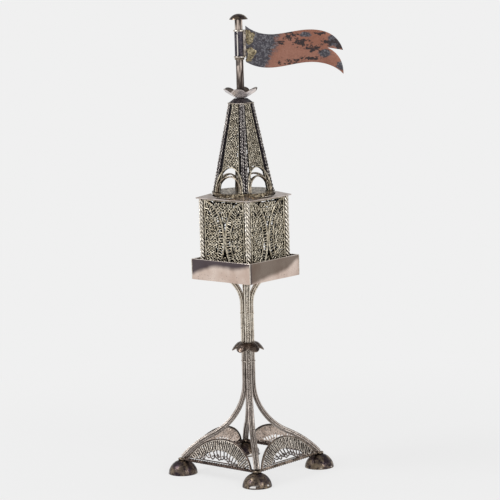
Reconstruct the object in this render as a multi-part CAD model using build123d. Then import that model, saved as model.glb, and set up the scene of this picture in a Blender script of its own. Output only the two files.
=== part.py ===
from build123d import *
import math
import os

# Spice tower of silver filigree for the end-of-Sabbath blessing, with a turning pennant. Millimetres, Z up,
# origin on the table under the tower's axis. Side 0 faces -Y; sides 1, 2 and 3 follow it anticlockwise.
# Corner 0 lies between sides 0 and 1, towards +X -Y, and the other corners follow it anticlockwise.

# Half-ball feet and the square pads soldered to their crowns
FOOT_SPACING = 50.0
FOOT_DIAMETER = 15.0
FOOT_RISE = 7.05
FOOT_CROWN_FLAT = 4.0
FOOT_WALL = 0.9
PAD_SIDE = 5.0
PAD_THICKNESS = 1.4

# Arched filigree sides of the base
RAIL_DEPTH = 1.2
ARCH_LEAN = 22.0
ARCH_INSET = 0.8
ARCH_RISE = 13.0
ARCH_RIM = 1.2
BASE_FILIGREE_THICKNESS = 0.8
COMB_PITCH = 2.3
COMB_LOOP_LENGTH = 4.0
COMB_LOOP_WIDTH = 1.1
CURL_LENGTH = 3.4
CURL_WIDTH = 1.5
FILIGREE_WEB = 0.8

# Four legs that close up into the stem and open again under the tray, each a ribbon with a spine behind it
RIBBON_WIDTH = 3.15
RIBBON_THICKNESS = 1.8
RIBBON_GAP = 0.05
SPINE_DEPTH = 0.9
LEG_SPLIT_HEIGHT = 46.8
LEG_BEND_RADIUS = 30.0
LEG_FOOT_SLOPE = 48.0
LEG_FOOT_INSET = 0.2
FLARE_RADIUS = 17.4
FLARE_TURN = 54.7
FLARE_RUN_ON = 20.0

# Pieces threaded on the stem
SLIP_GAP = 0.05
BINDING_WIRE = 0.25
BINDING_HEIGHT = 0.5
LOWER_BINDING_HEIGHT = 57.5
UPPER_BINDING_HEIGHT = 82.3
KNOP_TIP_HEIGHT = 62.7
KNOP_HEIGHT = 4.8
KNOP_RADIUS = 8.2
PETAL_COUNT = 6
PETAL_ROUND = 3.4
PETAL_SHEET = 0.7
KNOP_TURN = -19.4

# Plain sheet tray
TRAY_BOTTOM = 101.0
TRAY_SIDE = 38.9
TRAY_DEPTH = 10.6
TRAY_WALL = 0.8
TRAY_FLOOR = 0.8

# Spice box: rope corner posts and pierced panels
POST_DIAMETER = 2.6
BOX_HEIGHT = 40.2
PANEL_THICKNESS = 0.8
PANEL_BORDER = 1.0
OVAL_LAP = 0.3
OVAL_MARGIN = 0.4
OVAL_RIM = 1.1
OVAL_PROUD = 0.3
OVAL_WEB = 0.5
OVAL_LOOP_COUNT = 15
OVAL_LOOP_LENGTH = 3.2
OVAL_LOOP_WIDTH = 1.1
INNER_LOOP_COUNT = 9
INNER_LOOP_LENGTH = 2.6
HAIRPIN_PITCH = 2.2
HAIRPIN_WIDTH = 1.0

# Roof: flat top plate with a round collar, and a hipped sheet around it. The box, the lid and the foot of the
# spire take their plan from the roof's side.
TOP_PLATE_SHEET = 0.7
TOP_PLATE_MARGIN = 0.5
COLLAR_WALL = 0.7
ROOF_SIDE = 34.6
ROOF_OVERHANG = 2.1
ROOF_RIM = 1.0
ROOF_SLOPE = 18.3
ROOF_SHEET = 0.6
ROOF_GAP = 0.3

# Round lift-off lid that carries the spire
LID_SHEET = 0.8
LID_SKIRT_WALL = 0.7
LID_SKIRT_DEPTH = 1.7
LID_CLEARANCE = 0.08
LID_SEAT_GAP = 0.2
LID_WIRE = 0.6

# Tapered spire
SPIRE_HEIGHT = 44.5
SPIRE_FOOT_INSET = 0.8
SPIRE_TOP_RADIUS = 6.2
STRIP_FOOT_WIDTH = 3.5
STRIP_TOP_WIDTH = 2.2
STRIP_THICKNESS = 1.0
SPIRE_PANEL_THICKNESS = 0.8
SPIRE_PANEL_RECESS = 0.4
SPIRE_ARCH_RISE = 12.5
SPIRE_ARCH_MARGIN = 1.0
SPIRE_CURL_PITCH = 2.6
SPIRE_CURL_WIDTH = 1.1
RIBBON_ARCH_RISE = 8.6
RIBBON_ARCH_SHEET = 0.8
RIBBON_ARCH_DEPTH = 1.4
RIBBON_ARCH_GAP = 0.25
SPIRE_CAP_HEIGHT = 2.6
SPIRE_CAP_TOP = 4.8
SPIRE_CAP_MARGIN = 0.1

# Mast, flower cup and finial
MAST_DIAMETER = 3.9
MAST_HEIGHT = 39.6
CUP_HEIGHT = 5.4
CUP_RADIUS = 8.9
CUP_BASE_RADIUS = 2.8
CUP_TURN = -58.0
CUP_PETAL_ROUND = 4.2
FINIAL_DIAMETER = 9.6
FINIAL_HEIGHT = 2.9

# Pennant and the two wire rings it turns on, with heights above the spire's cap
RING_WIRE = 0.85
RING_CLEARANCE = 0.08
LOWER_RING_RISE = 20.8
UPPER_RING_RISE = 34.0
STOP_HEIGHT = 0.8
STOP_WALL = 0.5
STOP_GAP = 0.15
SLEEVE_WALL = 0.3
HOIST_WIDTH = 1.0
HOIST_THICKNESS = 1.6
LUG_LENGTH = 2.6
LUG_THICKNESS = 0.5
PENNANT_BEARING = 40.57
PENNANT_LENGTH = 48.9
PENNANT_SHEET = 0.7
HOIST_TOP = 2.4
HOIST_BOTTOM = 2.7
TOP_DIP = 2.3
TOP_CREST = 0.45
BELLY_DROP = 5.8
BOTTOM_RISE = 2.2
UPPER_TAIL_DROP = 11.2
LOWER_TAIL_DROP = 10.1
TAIL_NOTCH = 7.9
TAIL_NOTCH_DROP = 9.7

# Heights and radii that follow from the sizes above
half_feet = FOOT_SPACING / 2
foot_radius = FOOT_DIAMETER / 2
foot_ball = (foot_radius**2 + FOOT_RISE**2) / (2 * FOOT_RISE)
foot_ball_centre = FOOT_RISE - foot_ball
foot_height = foot_ball_centre + math.sqrt(foot_ball**2 - (FOOT_CROWN_FLAT / 2) ** 2)
pad_top = foot_height + PAD_THICKNESS
rail_half = half_feet - PAD_SIDE / 2
arch_half = rail_half - ARCH_INSET

leg_half = (RIBBON_THICKNESS + SPINE_DEPTH) / 2
ribbon_back = RIBBON_WIDTH / 2 + RIBBON_GAP / 2
spine_back = ribbon_back - SPINE_DEPTH
spine_width = 2 * (spine_back - RIBBON_GAP)
stem_face = ribbon_back + RIBBON_THICKNESS
stem_radius = stem_face - leg_half
stem_corner = math.hypot(stem_face, RIBBON_WIDTH / 2) + SLIP_GAP

box_bottom = TRAY_BOTTOM + TRAY_FLOOR
box_top = box_bottom + BOX_HEIGHT
roof_half = ROOF_SIDE / 2
post_offset = roof_half - ROOF_OVERHANG
post_radius = POST_DIAMETER / 2
panel_half = post_offset - post_radius

top_plate_top = box_top + TOP_PLATE_SHEET
top_plate_half = post_offset + TOP_PLATE_MARGIN
roof_hole = roof_half - ROOF_RIM
lid_radius = roof_hole - ROOF_GAP
skirt_radius = lid_radius - LID_WIRE
skirt_bore = skirt_radius - LID_SKIRT_WALL
collar_radius = skirt_bore - LID_CLEARANCE
collar_bore = collar_radius - COLLAR_WALL
skirt_bottom = top_plate_top + LID_SEAT_GAP
lid_underside = skirt_bottom + LID_SKIRT_DEPTH
lid_top = lid_underside + LID_SHEET

spire_foot_radius = lid_radius - SPIRE_FOOT_INSET
spire_top = lid_top + SPIRE_HEIGHT
cap_top = spire_top + SPIRE_CAP_HEIGHT
mast_radius = MAST_DIAMETER / 2
mast_top = cap_top + MAST_HEIGHT
lower_ring = cap_top + LOWER_RING_RISE
upper_ring = cap_top + UPPER_RING_RISE
ring_bore = mast_radius + RING_CLEARANCE
sleeve_radius = ring_bore + SLEEVE_WALL
sleeve_bottom = lower_ring + RING_WIRE / 2
sleeve_top = upper_ring - RING_WIRE / 2
hoist_outer = sleeve_radius + HOIST_WIDTH


def at_side(shape, side):
    """Turn a piece made on side 0 to another side."""
    return Rot(0, 0, 90 * side) * shape


def at_corner(shape, corner):
    """Turn a piece made on the +X axis to one of the four corners."""
    return Rot(0, 0, 90 * corner - 45) * shape


def side_plate(outline, distance, thickness):
    """Upright plate on side 0, its middle at a distance from the axis; the outline's Y is the height."""
    return extrude(Plane.XZ.offset(distance - thickness / 2) * outline, amount=thickness)


def drum(radius, low, high):
    """Upright round bar between two heights."""
    return Pos(0, 0, low) * Cylinder(radius, high - low, align=(Align.CENTER, Align.CENTER, Align.MIN))


def tube(radius, bore, low, high):
    """Upright round tube between two heights."""
    return drum(radius, low, high) - drum(bore, low, high)


def slab(side, low, high):
    """Square slab on the axis between two heights."""
    return Pos(0, 0, low) * Box(side, side, high - low, align=(Align.CENTER, Align.CENTER, Align.MIN))


def wire_ring(bore, wire, height):
    """Ring of round wire about the axis."""
    return Pos(0, 0, height) * Torus(bore + wire / 2, wire / 2)


def lunette(half_span, spring, crown):
    """Segment of a circle that stands on a straight base."""
    base = Line((-half_span, spring), (half_span, spring))
    arch = ThreePointArc((half_span, spring), (0, crown), (-half_span, spring))
    return make_face([base, arch])


def loop_slot(x, y, length, width, angle):
    """Gap of one filigree loop, turned by an angle from the X axis."""
    return Pos(x, y) * Rot(0, 0, angle) * SlotOverall(length, width)


def foot_dome():
    """Dome raised from sheet, open underneath, with a small flat on its crown."""
    centre = Pos(0, 0, foot_ball_centre)
    cap = centre * Sphere(foot_ball) & slab(2 * FOOT_DIAMETER, 0, foot_height)
    return cap - centre * Sphere(foot_ball - FOOT_WALL)


def base_plate(outline, thickness):
    """Plate on side 0 of the base, leaning inward from its rail; the outline's Y runs up the slope."""
    lean = math.radians(ARCH_LEAN)
    slope = Plane((0, -half_feet, pad_top), x_dir=(1, 0, 0), z_dir=(0, -math.cos(lean), math.sin(lean)))
    plate = extrude(slope * outline, amount=thickness / 2, both=True)
    return plate & slab(2 * FOOT_SPACING, pad_top, TRAY_BOTTOM)


def base_arch():
    """Bottom rail between two pads, and the arched rim that leans inward from it."""
    bar = Pos(0, foot_height + PAD_THICKNESS / 2) * Rectangle(2 * rail_half, PAD_THICKNESS)
    rim = lunette(arch_half, 0, ARCH_RISE) - lunette(arch_half - ARCH_RIM, 0, ARCH_RISE - ARCH_RIM)
    for hand in (-1, 1):
        rim += Pos(hand * (arch_half - ARCH_RIM / 2), -RAIL_DEPTH / 2) * Rectangle(ARCH_RIM, RAIL_DEPTH)
    return side_plate(bar, half_feet, RAIL_DEPTH) + base_plate(rim, RAIL_DEPTH)


def base_filigree():
    """Filling of one base arch: a row of comb loops under the rim and a row of curls under that."""
    half = arch_half - ARCH_RIM
    rise = ARCH_RISE - ARCH_RIM
    radius = (half**2 + rise**2) / (2 * rise)
    centre = rise - radius
    lowest = FILIGREE_WEB
    step = COMB_PITCH / radius
    count = int(math.asin(half / radius) / step)
    comb_radius = radius - FILIGREE_WEB - COMB_LOOP_LENGTH / 2
    curl_radius = comb_radius - COMB_LOOP_LENGTH / 2 - FILIGREE_WEB - CURL_LENGTH / 2
    gaps = []
    for i in range(-count, count + 1):
        rows = [(comb_radius, COMB_LOOP_LENGTH, COMB_LOOP_WIDTH)]
        if i % 2 == 0:
            rows.append((curl_radius, CURL_LENGTH, CURL_WIDTH))
        for row_radius, length, width in rows:
            x = row_radius * math.sin(i * step)
            y = centre + row_radius * math.cos(i * step)
            reach = length / 2 * math.cos(i * step) + width / 2
            if y - reach > lowest:
                gaps.append(loop_slot(x, y, length, width, 90 - math.degrees(i * step)))
    filling = lunette(half, 0, rise) - gaps
    return base_plate(filling, BASE_FILIGREE_THICKNESS)


def leg_ribbon():
    """One leg from the foot pad up the stem to the tray, on the +X axis, drawn in radius and height."""
    split = Vector(stem_radius, LEG_SPLIT_HEIGHT)
    foot = Vector(half_feet * math.sqrt(2) - LEG_FOOT_INSET, pad_top)
    slope = math.radians(LEG_FOOT_SLOPE)
    bend_centre = split + Vector(LEG_BEND_RADIUS, 0)
    # The lower arc ends on the pad at its slope and meets the upper bend tangentially
    inward = Vector(-math.sin(slope), -math.cos(slope))
    across = bend_centre - foot
    sweep_radius = (across.dot(across) - LEG_BEND_RADIUS**2) / (2 * (across.dot(inward) + LEG_BEND_RADIUS))
    sweep_centre = foot + inward * sweep_radius
    towards = (sweep_centre - bend_centre).normalized()
    flare_rise = FLARE_RADIUS * math.sin(math.radians(FLARE_TURN))
    flare_centre = Vector(stem_radius + FLARE_RADIUS, TRAY_BOTTOM - flare_rise)
    flare_end = math.radians(FLARE_TURN + FLARE_RUN_ON)
    run_on = 2 * leg_half / sweep_radius

    def edge(shift):
        """Corner points of the line a little outside (+) or inside (-) of the leg's middle."""
        bend = LEG_BEND_RADIUS - shift
        sweep = sweep_radius + shift
        flare = FLARE_RADIUS - shift
        foot_angle = math.pi / 2 - slope
        meeting = bend_centre + towards * bend
        meeting_angle = math.atan2(-towards.Y, -towards.X)
        toe_angle = foot_angle - run_on
        middle_angle = (meeting_angle + toe_angle) / 2
        toe = sweep_centre + Vector(math.cos(toe_angle), math.sin(toe_angle)) * sweep
        on_sweep = sweep_centre + Vector(math.cos(middle_angle), math.sin(middle_angle)) * sweep
        half_turn = (Vector(-1, 0) + towards).normalized()
        on_bend = bend_centre + half_turn * bend
        half_flare = Vector(-math.cos(flare_end / 2), math.sin(flare_end / 2))
        return {
            "toe": toe,
            "on_sweep": on_sweep,
            "meeting": meeting,
            "on_bend": on_bend,
            "split": split + Vector(shift, 0),
            "flare": flare_centre + Vector(-flare, 0),
            "on_flare": flare_centre + half_flare * flare,
            "end": flare_centre + Vector(-math.cos(flare_end), math.sin(flare_end)) * flare,
        }

    def layer(front, back, width):
        """Part of the leg between two depths, as wide as given."""
        outside = edge(front)
        inside = edge(back)
        outline = [Line(inside["toe"], outside["toe"]), Line(inside["end"], outside["end"])]
        for line in (outside, inside):
            outline.append(ThreePointArc(line["toe"], line["on_sweep"], line["meeting"]))
            outline.append(ThreePointArc(line["meeting"], line["on_bend"], line["split"]))
            outline.append(Line(line["split"], line["flare"]))
            outline.append(ThreePointArc(line["flare"], line["on_flare"], line["end"]))
        return extrude(Plane.XZ * make_face(outline), amount=width / 2, both=True)

    ribbon = layer(leg_half, leg_half - RIBBON_THICKNESS, RIBBON_WIDTH)
    spine = layer(0, -leg_half, spine_width)
    return (ribbon + spine) & slab(3 * FOOT_SPACING, pad_top, TRAY_BOTTOM)


def stem_binding(height):
    """Flat wire drawn tight around the four legs of the stem."""
    face = stem_face + SLIP_GAP
    corners = []
    for corner in range(4):
        for hand in (-1, 1):
            corners.append(Vector(face, hand * RIBBON_WIDTH / 2).rotate(Axis.Z, 90 * corner - 45))
    inside = make_face(Polyline(*corners, close=True))
    band = offset(inside, BINDING_WIRE) - inside
    return Pos(0, 0, height - BINDING_HEIGHT / 2) * extrude(band, amount=BINDING_HEIGHT)


def petal_outline(reach, turn, petal_round):
    """Plan of a flower: rounded petals around a disc."""
    centre = reach - petal_round
    flower = Circle(centre)
    for i in range(PETAL_COUNT):
        angle = math.radians(turn + 360 / PETAL_COUNT * i)
        flower += Pos(centre * math.cos(angle), centre * math.sin(angle)) * Circle(petal_round)
    return flower


def flower(section, outline, low, high):
    """Round shell spun from a section and cut to petals."""
    shell = revolve(Plane.XZ * section, Axis.Z)
    return shell & Pos(0, 0, low) * extrude(outline, amount=high - low)


def knop():
    """Six drooping petals threaded on the stem."""
    top = KNOP_TIP_HEIGHT + KNOP_HEIGHT
    bore = stem_corner
    inner = KNOP_RADIUS - PETAL_SHEET
    shoulder = (bore + KNOP_RADIUS) / 2 + PETAL_SHEET
    under_shoulder = shoulder - PETAL_SHEET
    droop = KNOP_TIP_HEIGHT + 0.7 * KNOP_HEIGHT
    section = make_face(
        [
            Line((bore, top - PETAL_SHEET), (bore, top)),
            ThreePointArc((bore, top), (shoulder, droop), (KNOP_RADIUS, KNOP_TIP_HEIGHT)),
            Line((KNOP_RADIUS, KNOP_TIP_HEIGHT), (inner, KNOP_TIP_HEIGHT)),
            ThreePointArc(
                (inner, KNOP_TIP_HEIGHT), (under_shoulder, droop - PETAL_SHEET / 2), (bore, top - PETAL_SHEET)
            ),
        ]
    )
    return flower(section, petal_outline(KNOP_RADIUS, KNOP_TURN, PETAL_ROUND), KNOP_TIP_HEIGHT, top)


def mast_cup():
    """Six-petalled cup at the foot of the mast, opening upward."""
    bore = mast_radius + SLIP_GAP
    tip = cap_top + CUP_HEIGHT
    belly = (CUP_BASE_RADIUS + CUP_RADIUS) / 2 + PETAL_SHEET / 2
    belly_height = cap_top + 0.3 * CUP_HEIGHT
    section = make_face(
        [
            Line((bore, cap_top), (CUP_BASE_RADIUS, cap_top)),
            ThreePointArc((CUP_BASE_RADIUS, cap_top), (belly, belly_height), (CUP_RADIUS, tip)),
            Line((CUP_RADIUS, tip), (CUP_RADIUS - PETAL_SHEET, tip)),
            ThreePointArc(
                (CUP_RADIUS - PETAL_SHEET, tip),
                (belly - PETAL_SHEET / 2, belly_height + PETAL_SHEET * 0.8),
                (CUP_BASE_RADIUS, cap_top + PETAL_SHEET),
            ),
            Line((CUP_BASE_RADIUS, cap_top + PETAL_SHEET), (bore, cap_top + PETAL_SHEET)),
            Line((bore, cap_top + PETAL_SHEET), (bore, cap_top)),
        ]
    )
    return flower(section, petal_outline(CUP_RADIUS, CUP_TURN, CUP_PETAL_ROUND), cap_top, tip)


def tray_wall():
    """One mitred wall of the tray on side 0."""
    outer = TRAY_SIDE / 2
    inner = outer - TRAY_WALL
    plan = Polyline((-outer, -outer), (outer, -outer), (inner, -inner), (-inner, -inner), close=True)
    return Pos(0, 0, TRAY_BOTTOM) * extrude(make_face(plan), amount=TRAY_DEPTH)


def box_panel():
    """Pierced panel between two posts: two half ovals back to back, combed inside, hairpins between them."""
    half_height = BOX_HEIGHT / 2
    clear = half_height - PANEL_BORDER
    wide = panel_half + OVAL_LAP
    tall = half_height - OVAL_MARGIN
    outer_row = OVAL_RIM + OVAL_WEB + OVAL_LOOP_LENGTH / 2
    inner_row = outer_row + OVAL_LOOP_LENGTH / 2 + OVAL_WEB + INNER_LOOP_LENGTH / 2
    rows = [(OVAL_LOOP_COUNT, outer_row, OVAL_LOOP_LENGTH), (INNER_LOOP_COUNT, inner_row, INNER_LOOP_LENGTH)]
    sheet = Rectangle(2 * panel_half, BOX_HEIGHT)
    rims = Sketch()
    gaps = []
    for hand in (-1, 1):
        rim = Ellipse(wide, tall) - Ellipse(wide - OVAL_RIM, tall - OVAL_RIM)
        rims += Pos(hand * panel_half, 0) * rim & sheet
        for count, inset, length in rows:
            for i in range(count):
                turn = math.pi * ((i + 0.5) / count - 0.5)
                x = hand * (panel_half - (wide - inset) * math.cos(turn))
                y = (tall - inset) * math.sin(turn)
                lean = math.atan2(math.sin(turn) / tall, math.cos(turn) / wide)
                room = panel_half - PANEL_BORDER - abs(x) - length / 2 * math.cos(lean)
                if room > OVAL_LOOP_WIDTH / 2 and abs(y) + length / 2 < clear:
                    gaps.append(loop_slot(x, y, length, OVAL_LOOP_WIDTH, -hand * math.degrees(lean)))
    hairpins = int(panel_half / 2 / HAIRPIN_PITCH)
    for i in range(-hairpins, hairpins + 1):
        x = i * HAIRPIN_PITCH
        across = (panel_half - abs(x) - HAIRPIN_WIDTH / 2) / wide
        foot = tall * math.sqrt(1 - across**2) + OVAL_WEB
        length = clear - foot
        if length > 2 * HAIRPIN_WIDTH:
            for hand in (-1, 1):
                gaps.append(loop_slot(x, hand * (foot + length / 2), length, HAIRPIN_WIDTH, 90))
    middle = Pos(0, box_bottom + half_height)
    panel = side_plate(middle * (sheet - gaps), post_offset, PANEL_THICKNESS)
    return panel + side_plate(middle * rims, post_offset, PANEL_THICKNESS + 2 * OVAL_PROUD)


def hip_block(eaves_height):
    """Solid hipped roof rising from square eaves."""
    rise = roof_half / 2 * math.tan(math.radians(ROOF_SLOPE))
    eaves = Pos(0, 0, eaves_height) * Rectangle(ROOF_SIDE, ROOF_SIDE)
    ridge = Pos(0, 0, eaves_height + rise) * Rectangle(roof_half, roof_half)
    return loft([eaves, ridge])


def roof_hip():
    """Hipped sheet that rests on the top plate's edges, with a round hole that clears the lid."""
    tangent = math.tan(math.radians(ROOF_SLOPE))
    eaves_under = top_plate_top - (roof_half - top_plate_half) * tangent
    upright = ROOF_SHEET / math.cos(math.radians(ROOF_SLOPE))
    sheet = hip_block(eaves_under + upright) + slab(ROOF_SIDE, eaves_under, eaves_under + upright)
    sheet -= hip_block(eaves_under)
    return sheet - drum(roof_hole, eaves_under - upright, eaves_under + ROOF_SIDE)


def lid_cap():
    """Round lid pressed in one piece: a flat disc and a skirt that slips over the collar."""
    disc = drum(lid_radius, lid_underside, lid_top)
    return disc + tube(skirt_radius, skirt_bore, skirt_bottom, lid_underside)


def strip_offset(height, shift):
    """Distance of a corner strip's middle from the axis at a height above the lid, moved by a shift."""
    return spire_foot_radius + (SPIRE_TOP_RADIUS - spire_foot_radius) * height / SPIRE_HEIGHT + shift


def spire_strip():
    """Tapered corner strip of the spire on the +X axis."""
    half = STRIP_THICKNESS / 2
    side_view = Polyline(
        (strip_offset(0, -half), lid_top),
        (strip_offset(0, half), lid_top),
        (strip_offset(SPIRE_HEIGHT, half), spire_top),
        (strip_offset(SPIRE_HEIGHT, -half), spire_top),
        close=True,
    )
    front_view = Polyline(
        (-STRIP_FOOT_WIDTH / 2, lid_top),
        (STRIP_FOOT_WIDTH / 2, lid_top),
        (STRIP_TOP_WIDTH / 2, spire_top),
        (-STRIP_TOP_WIDTH / 2, spire_top),
        close=True,
    )
    bar = extrude(Plane.XZ * make_face(side_view), amount=STRIP_FOOT_WIDTH, both=True)
    taper = extrude(Plane.YZ * make_face(front_view), amount=2 * spire_foot_radius)
    return bar & taper


def spire_face():
    """Slope and size of one side of the spire between its corner strips."""
    low_corner = spire_foot_radius / math.sqrt(2)
    high_corner = SPIRE_TOP_RADIUS / math.sqrt(2)
    low_edge = STRIP_FOOT_WIDTH / math.sqrt(8)
    high_edge = STRIP_TOP_WIDTH / math.sqrt(8)
    distance = low_corner + low_edge - SPIRE_PANEL_RECESS
    lean = math.atan((low_corner + low_edge - high_corner - high_edge) / SPIRE_HEIGHT)
    plane = Plane((0, -distance, lid_top), x_dir=(1, 0, 0), z_dir=(0, -math.cos(lean), math.sin(lean)))
    return plane, low_corner - low_edge, high_corner - high_edge, SPIRE_HEIGHT / math.cos(lean)


def spire_panel(strips):
    """Pierced panel of one side of the spire, arched over its foot, fitted between two corner strips."""
    plane, low_half, high_half, length = spire_face()
    reach = STRIP_THICKNESS / 2
    sheet = make_face(
        Polyline(
            (-low_half - reach, -reach),
            (low_half + reach, -reach),
            (high_half + reach, length + reach),
            (-high_half - reach, length + reach),
            close=True,
        )
    )
    sheet -= Ellipse(low_half - SPIRE_ARCH_MARGIN, SPIRE_ARCH_RISE)
    rows = int((length - SPIRE_ARCH_RISE - 2 * FILIGREE_WEB) / SPIRE_CURL_PITCH)
    gaps = []
    for row in range(rows):
        y = SPIRE_ARCH_RISE + FILIGREE_WEB + SPIRE_CURL_PITCH * (row + 0.5)
        half = low_half + (high_half - low_half) * y / length - FILIGREE_WEB
        count = int(half / SPIRE_CURL_PITCH * 2)
        for i in range(count):
            x = SPIRE_CURL_PITCH * (i - (count - 1) / 2)
            lean = 45 if (row + i) % 2 == 0 else -45
            gaps.append(loop_slot(x, y, SPIRE_CURL_PITCH * 0.8, SPIRE_CURL_WIDTH, lean))
    panel = extrude(plane * (sheet - gaps), amount=SPIRE_PANEL_THICKNESS / 2, both=True)
    panel = panel & slab(4 * spire_foot_radius, lid_top, spire_top)
    return panel - strips


def spire_arch():
    """Free ribbon arch that stands on the lid inside the panel's own arch."""
    plane, low_half = spire_face()[:2]
    outer = low_half - SPIRE_ARCH_MARGIN - RIBBON_ARCH_GAP
    inner = outer - RIBBON_ARCH_SHEET
    band = Ellipse(outer, RIBBON_ARCH_RISE) - Ellipse(inner, RIBBON_ARCH_RISE - RIBBON_ARCH_SHEET)
    arch = extrude(plane * band, amount=RIBBON_ARCH_DEPTH / 2, both=True)
    return arch & slab(4 * spire_foot_radius, lid_top, spire_top)


def spire_cap():
    """Low pyramid that closes the spire and carries the mast."""
    foot = 2 * ((SPIRE_TOP_RADIUS + STRIP_THICKNESS / 2) / math.sqrt(2) + SPIRE_CAP_MARGIN)
    low = Pos(0, 0, spire_top) * Rectangle(foot, foot)
    high = Pos(0, 0, cap_top) * Rectangle(SPIRE_CAP_TOP, SPIRE_CAP_TOP)
    return loft([low, high])


def finial():
    """Low domed button soldered on the mast's end."""
    radius = FINIAL_DIAMETER / 2
    ball = (radius**2 + FINIAL_HEIGHT**2) / (2 * FINIAL_HEIGHT)
    dome = Pos(0, 0, mast_top + FINIAL_HEIGHT - ball) * Sphere(ball)
    return dome & slab(2 * FINIAL_DIAMETER, mast_top, mast_top + 2 * FINIAL_HEIGHT)


def pennant_blade():
    """Swallow-tailed blade of copper sheet, drawn along +X from its hoist."""
    near = hoist_outer
    far = near + PENNANT_LENGTH
    top = upper_ring + HOIST_TOP
    bottom = lower_ring - HOIST_BOTTOM
    dip = upper_ring - TOP_DIP
    crest = upper_ring - TOP_CREST
    rise = lower_ring - BELLY_DROP + BOTTOM_RISE
    belly = lower_ring - BELLY_DROP
    upper_tip = (far, upper_ring - UPPER_TAIL_DROP)
    notch = (far - TAIL_NOTCH, upper_ring - TAIL_NOTCH_DROP)
    lower_tip = (far, lower_ring - LOWER_TAIL_DROP)
    top_edge = Spline(
        (near, top),
        (near + 0.29 * PENNANT_LENGTH, dip),
        (near + 0.63 * PENNANT_LENGTH, crest),
        (near + 0.85 * PENNANT_LENGTH, dip),
        upper_tip,
    )
    bottom_edge = Spline(
        (near, bottom),
        (near + 0.29 * PENNANT_LENGTH, belly),
        (near + 0.66 * PENNANT_LENGTH, rise),
        (near + 0.88 * PENNANT_LENGTH, belly),
        lower_tip,
    )
    outline = [
        top_edge,
        Line(upper_tip, notch),
        Spline(notch, (far - 0.35 * TAIL_NOTCH, notch[1] - 0.4 * LOWER_TAIL_DROP), lower_tip),
        bottom_edge,
        Line((near, bottom), (near, top)),
    ]
    return extrude(Plane.XZ * make_face(outline), amount=PENNANT_SHEET / 2, both=True)


def pennant_hoist():
    """Stiffening strip along the hoist, seated on the sleeve."""
    height = sleeve_top - sleeve_bottom
    strip = Box(hoist_outer, HOIST_THICKNESS, height, align=(Align.MIN, Align.CENTER, Align.MIN))
    return Pos(0, 0, sleeve_bottom) * strip - drum(sleeve_radius, sleeve_bottom, sleeve_top)


def pennant_ring(height):
    """Wire ring on the mast with a lug that lies flat against the blade."""
    lug = Box(
        ring_bore + RING_WIRE + LUG_LENGTH - sleeve_radius,
        LUG_THICKNESS,
        RING_WIRE,
        align=(Align.MIN, Align.MIN, Align.CENTER),
    )
    return wire_ring(ring_bore, RING_WIRE, height) + Pos(sleeve_radius, PENNANT_SHEET / 2, height) * lug


nodes = {}
foot = foot_dome()
pads = []
arch = base_arch()
filling = base_filigree()
ribbon = leg_ribbon()
wall = tray_wall()
panel = box_panel()
strip = spire_strip()
strips = [at_corner(strip, corner) for corner in range(4)]
spire_side = spire_panel(strips)
free_arch = spire_arch()
for i in range(4):
    number = i + 1
    east = half_feet * (1 if i in (0, 1) else -1)
    north = half_feet * (1 if i in (1, 2) else -1)
    nodes[f"foot_dome_{number}"] = Pos(east, north, 0) * foot
    pads.append(Pos(east, north, 0) * slab(PAD_SIDE, foot_height, pad_top))
    nodes[f"base_arch_{number}"] = at_side(arch, i)
    nodes[f"base_filigree_{number}"] = at_side(filling, i)
    nodes[f"leg_ribbon_{number}"] = at_corner(ribbon, i)
    nodes[f"tray_wall_{number}"] = at_side(wall, i)
    post_place = Pos(math.copysign(post_offset, east), math.copysign(post_offset, north), 0)
    nodes[f"box_post_{number}"] = post_place * drum(post_radius, box_bottom, box_top)
    nodes[f"box_panel_{number}"] = at_side(panel, i)
    nodes[f"spire_strip_{number}"] = strips[i]
    nodes[f"spire_panel_{number}"] = at_side(spire_side, i)
    nodes[f"spire_arch_{number}"] = at_side(free_arch, i)

nodes["foot_pads"] = Compound(children=pads)
core_side = 2 * spine_back
nodes["stem_core"] = Rot(0, 0, 45) * slab(core_side, LEG_SPLIT_HEIGHT, TRAY_BOTTOM)
bindings = [stem_binding(height) for height in (LOWER_BINDING_HEIGHT, UPPER_BINDING_HEIGHT)]
nodes["stem_bindings"] = Compound(children=bindings)
nodes["stem_knop"] = knop()
nodes["tray_floor"] = slab(TRAY_SIDE - 2 * TRAY_WALL, TRAY_BOTTOM, box_bottom)
plate_hole = drum(collar_bore, box_top, top_plate_top)
nodes["top_plate"] = slab(2 * top_plate_half, box_top, top_plate_top) - plate_hole
nodes["lid_collar"] = tube(collar_radius, collar_bore, top_plate_top, lid_underside - LID_SEAT_GAP)
nodes["roof_hip"] = roof_hip()
nodes["lid_cap"] = lid_cap()
nodes["lid_wire"] = wire_ring(skirt_radius, LID_WIRE, skirt_bottom + LID_WIRE / 2)
nodes["spire_cap"] = spire_cap()
nodes["mast_cup"] = mast_cup()
nodes["mast"] = drum(mast_radius, cap_top, mast_top)
stop_top = lower_ring - RING_WIRE / 2 - STOP_GAP
nodes["mast_stop"] = tube(mast_radius + STOP_WALL, mast_radius, stop_top - STOP_HEIGHT, stop_top)
nodes["finial"] = finial()

to_bearing = Rot(0, 0, PENNANT_BEARING)
nodes["pennant_blade"] = to_bearing * pennant_blade()
nodes["pennant_hoist"] = to_bearing * pennant_hoist()
nodes["pennant_sleeve"] = tube(sleeve_radius, ring_bore, sleeve_bottom, sleeve_top)
rings = [to_bearing * pennant_ring(height) for height in (lower_ring, upper_ring)]
nodes["pennant_rings"] = Compound(children=rings)

os.makedirs("parts", exist_ok=True)
for name, shape in nodes.items():
    export_step(shape, f"parts/{name}.step")
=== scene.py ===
import math
import random

import bpy
from mathutils import Matrix, Vector


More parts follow.
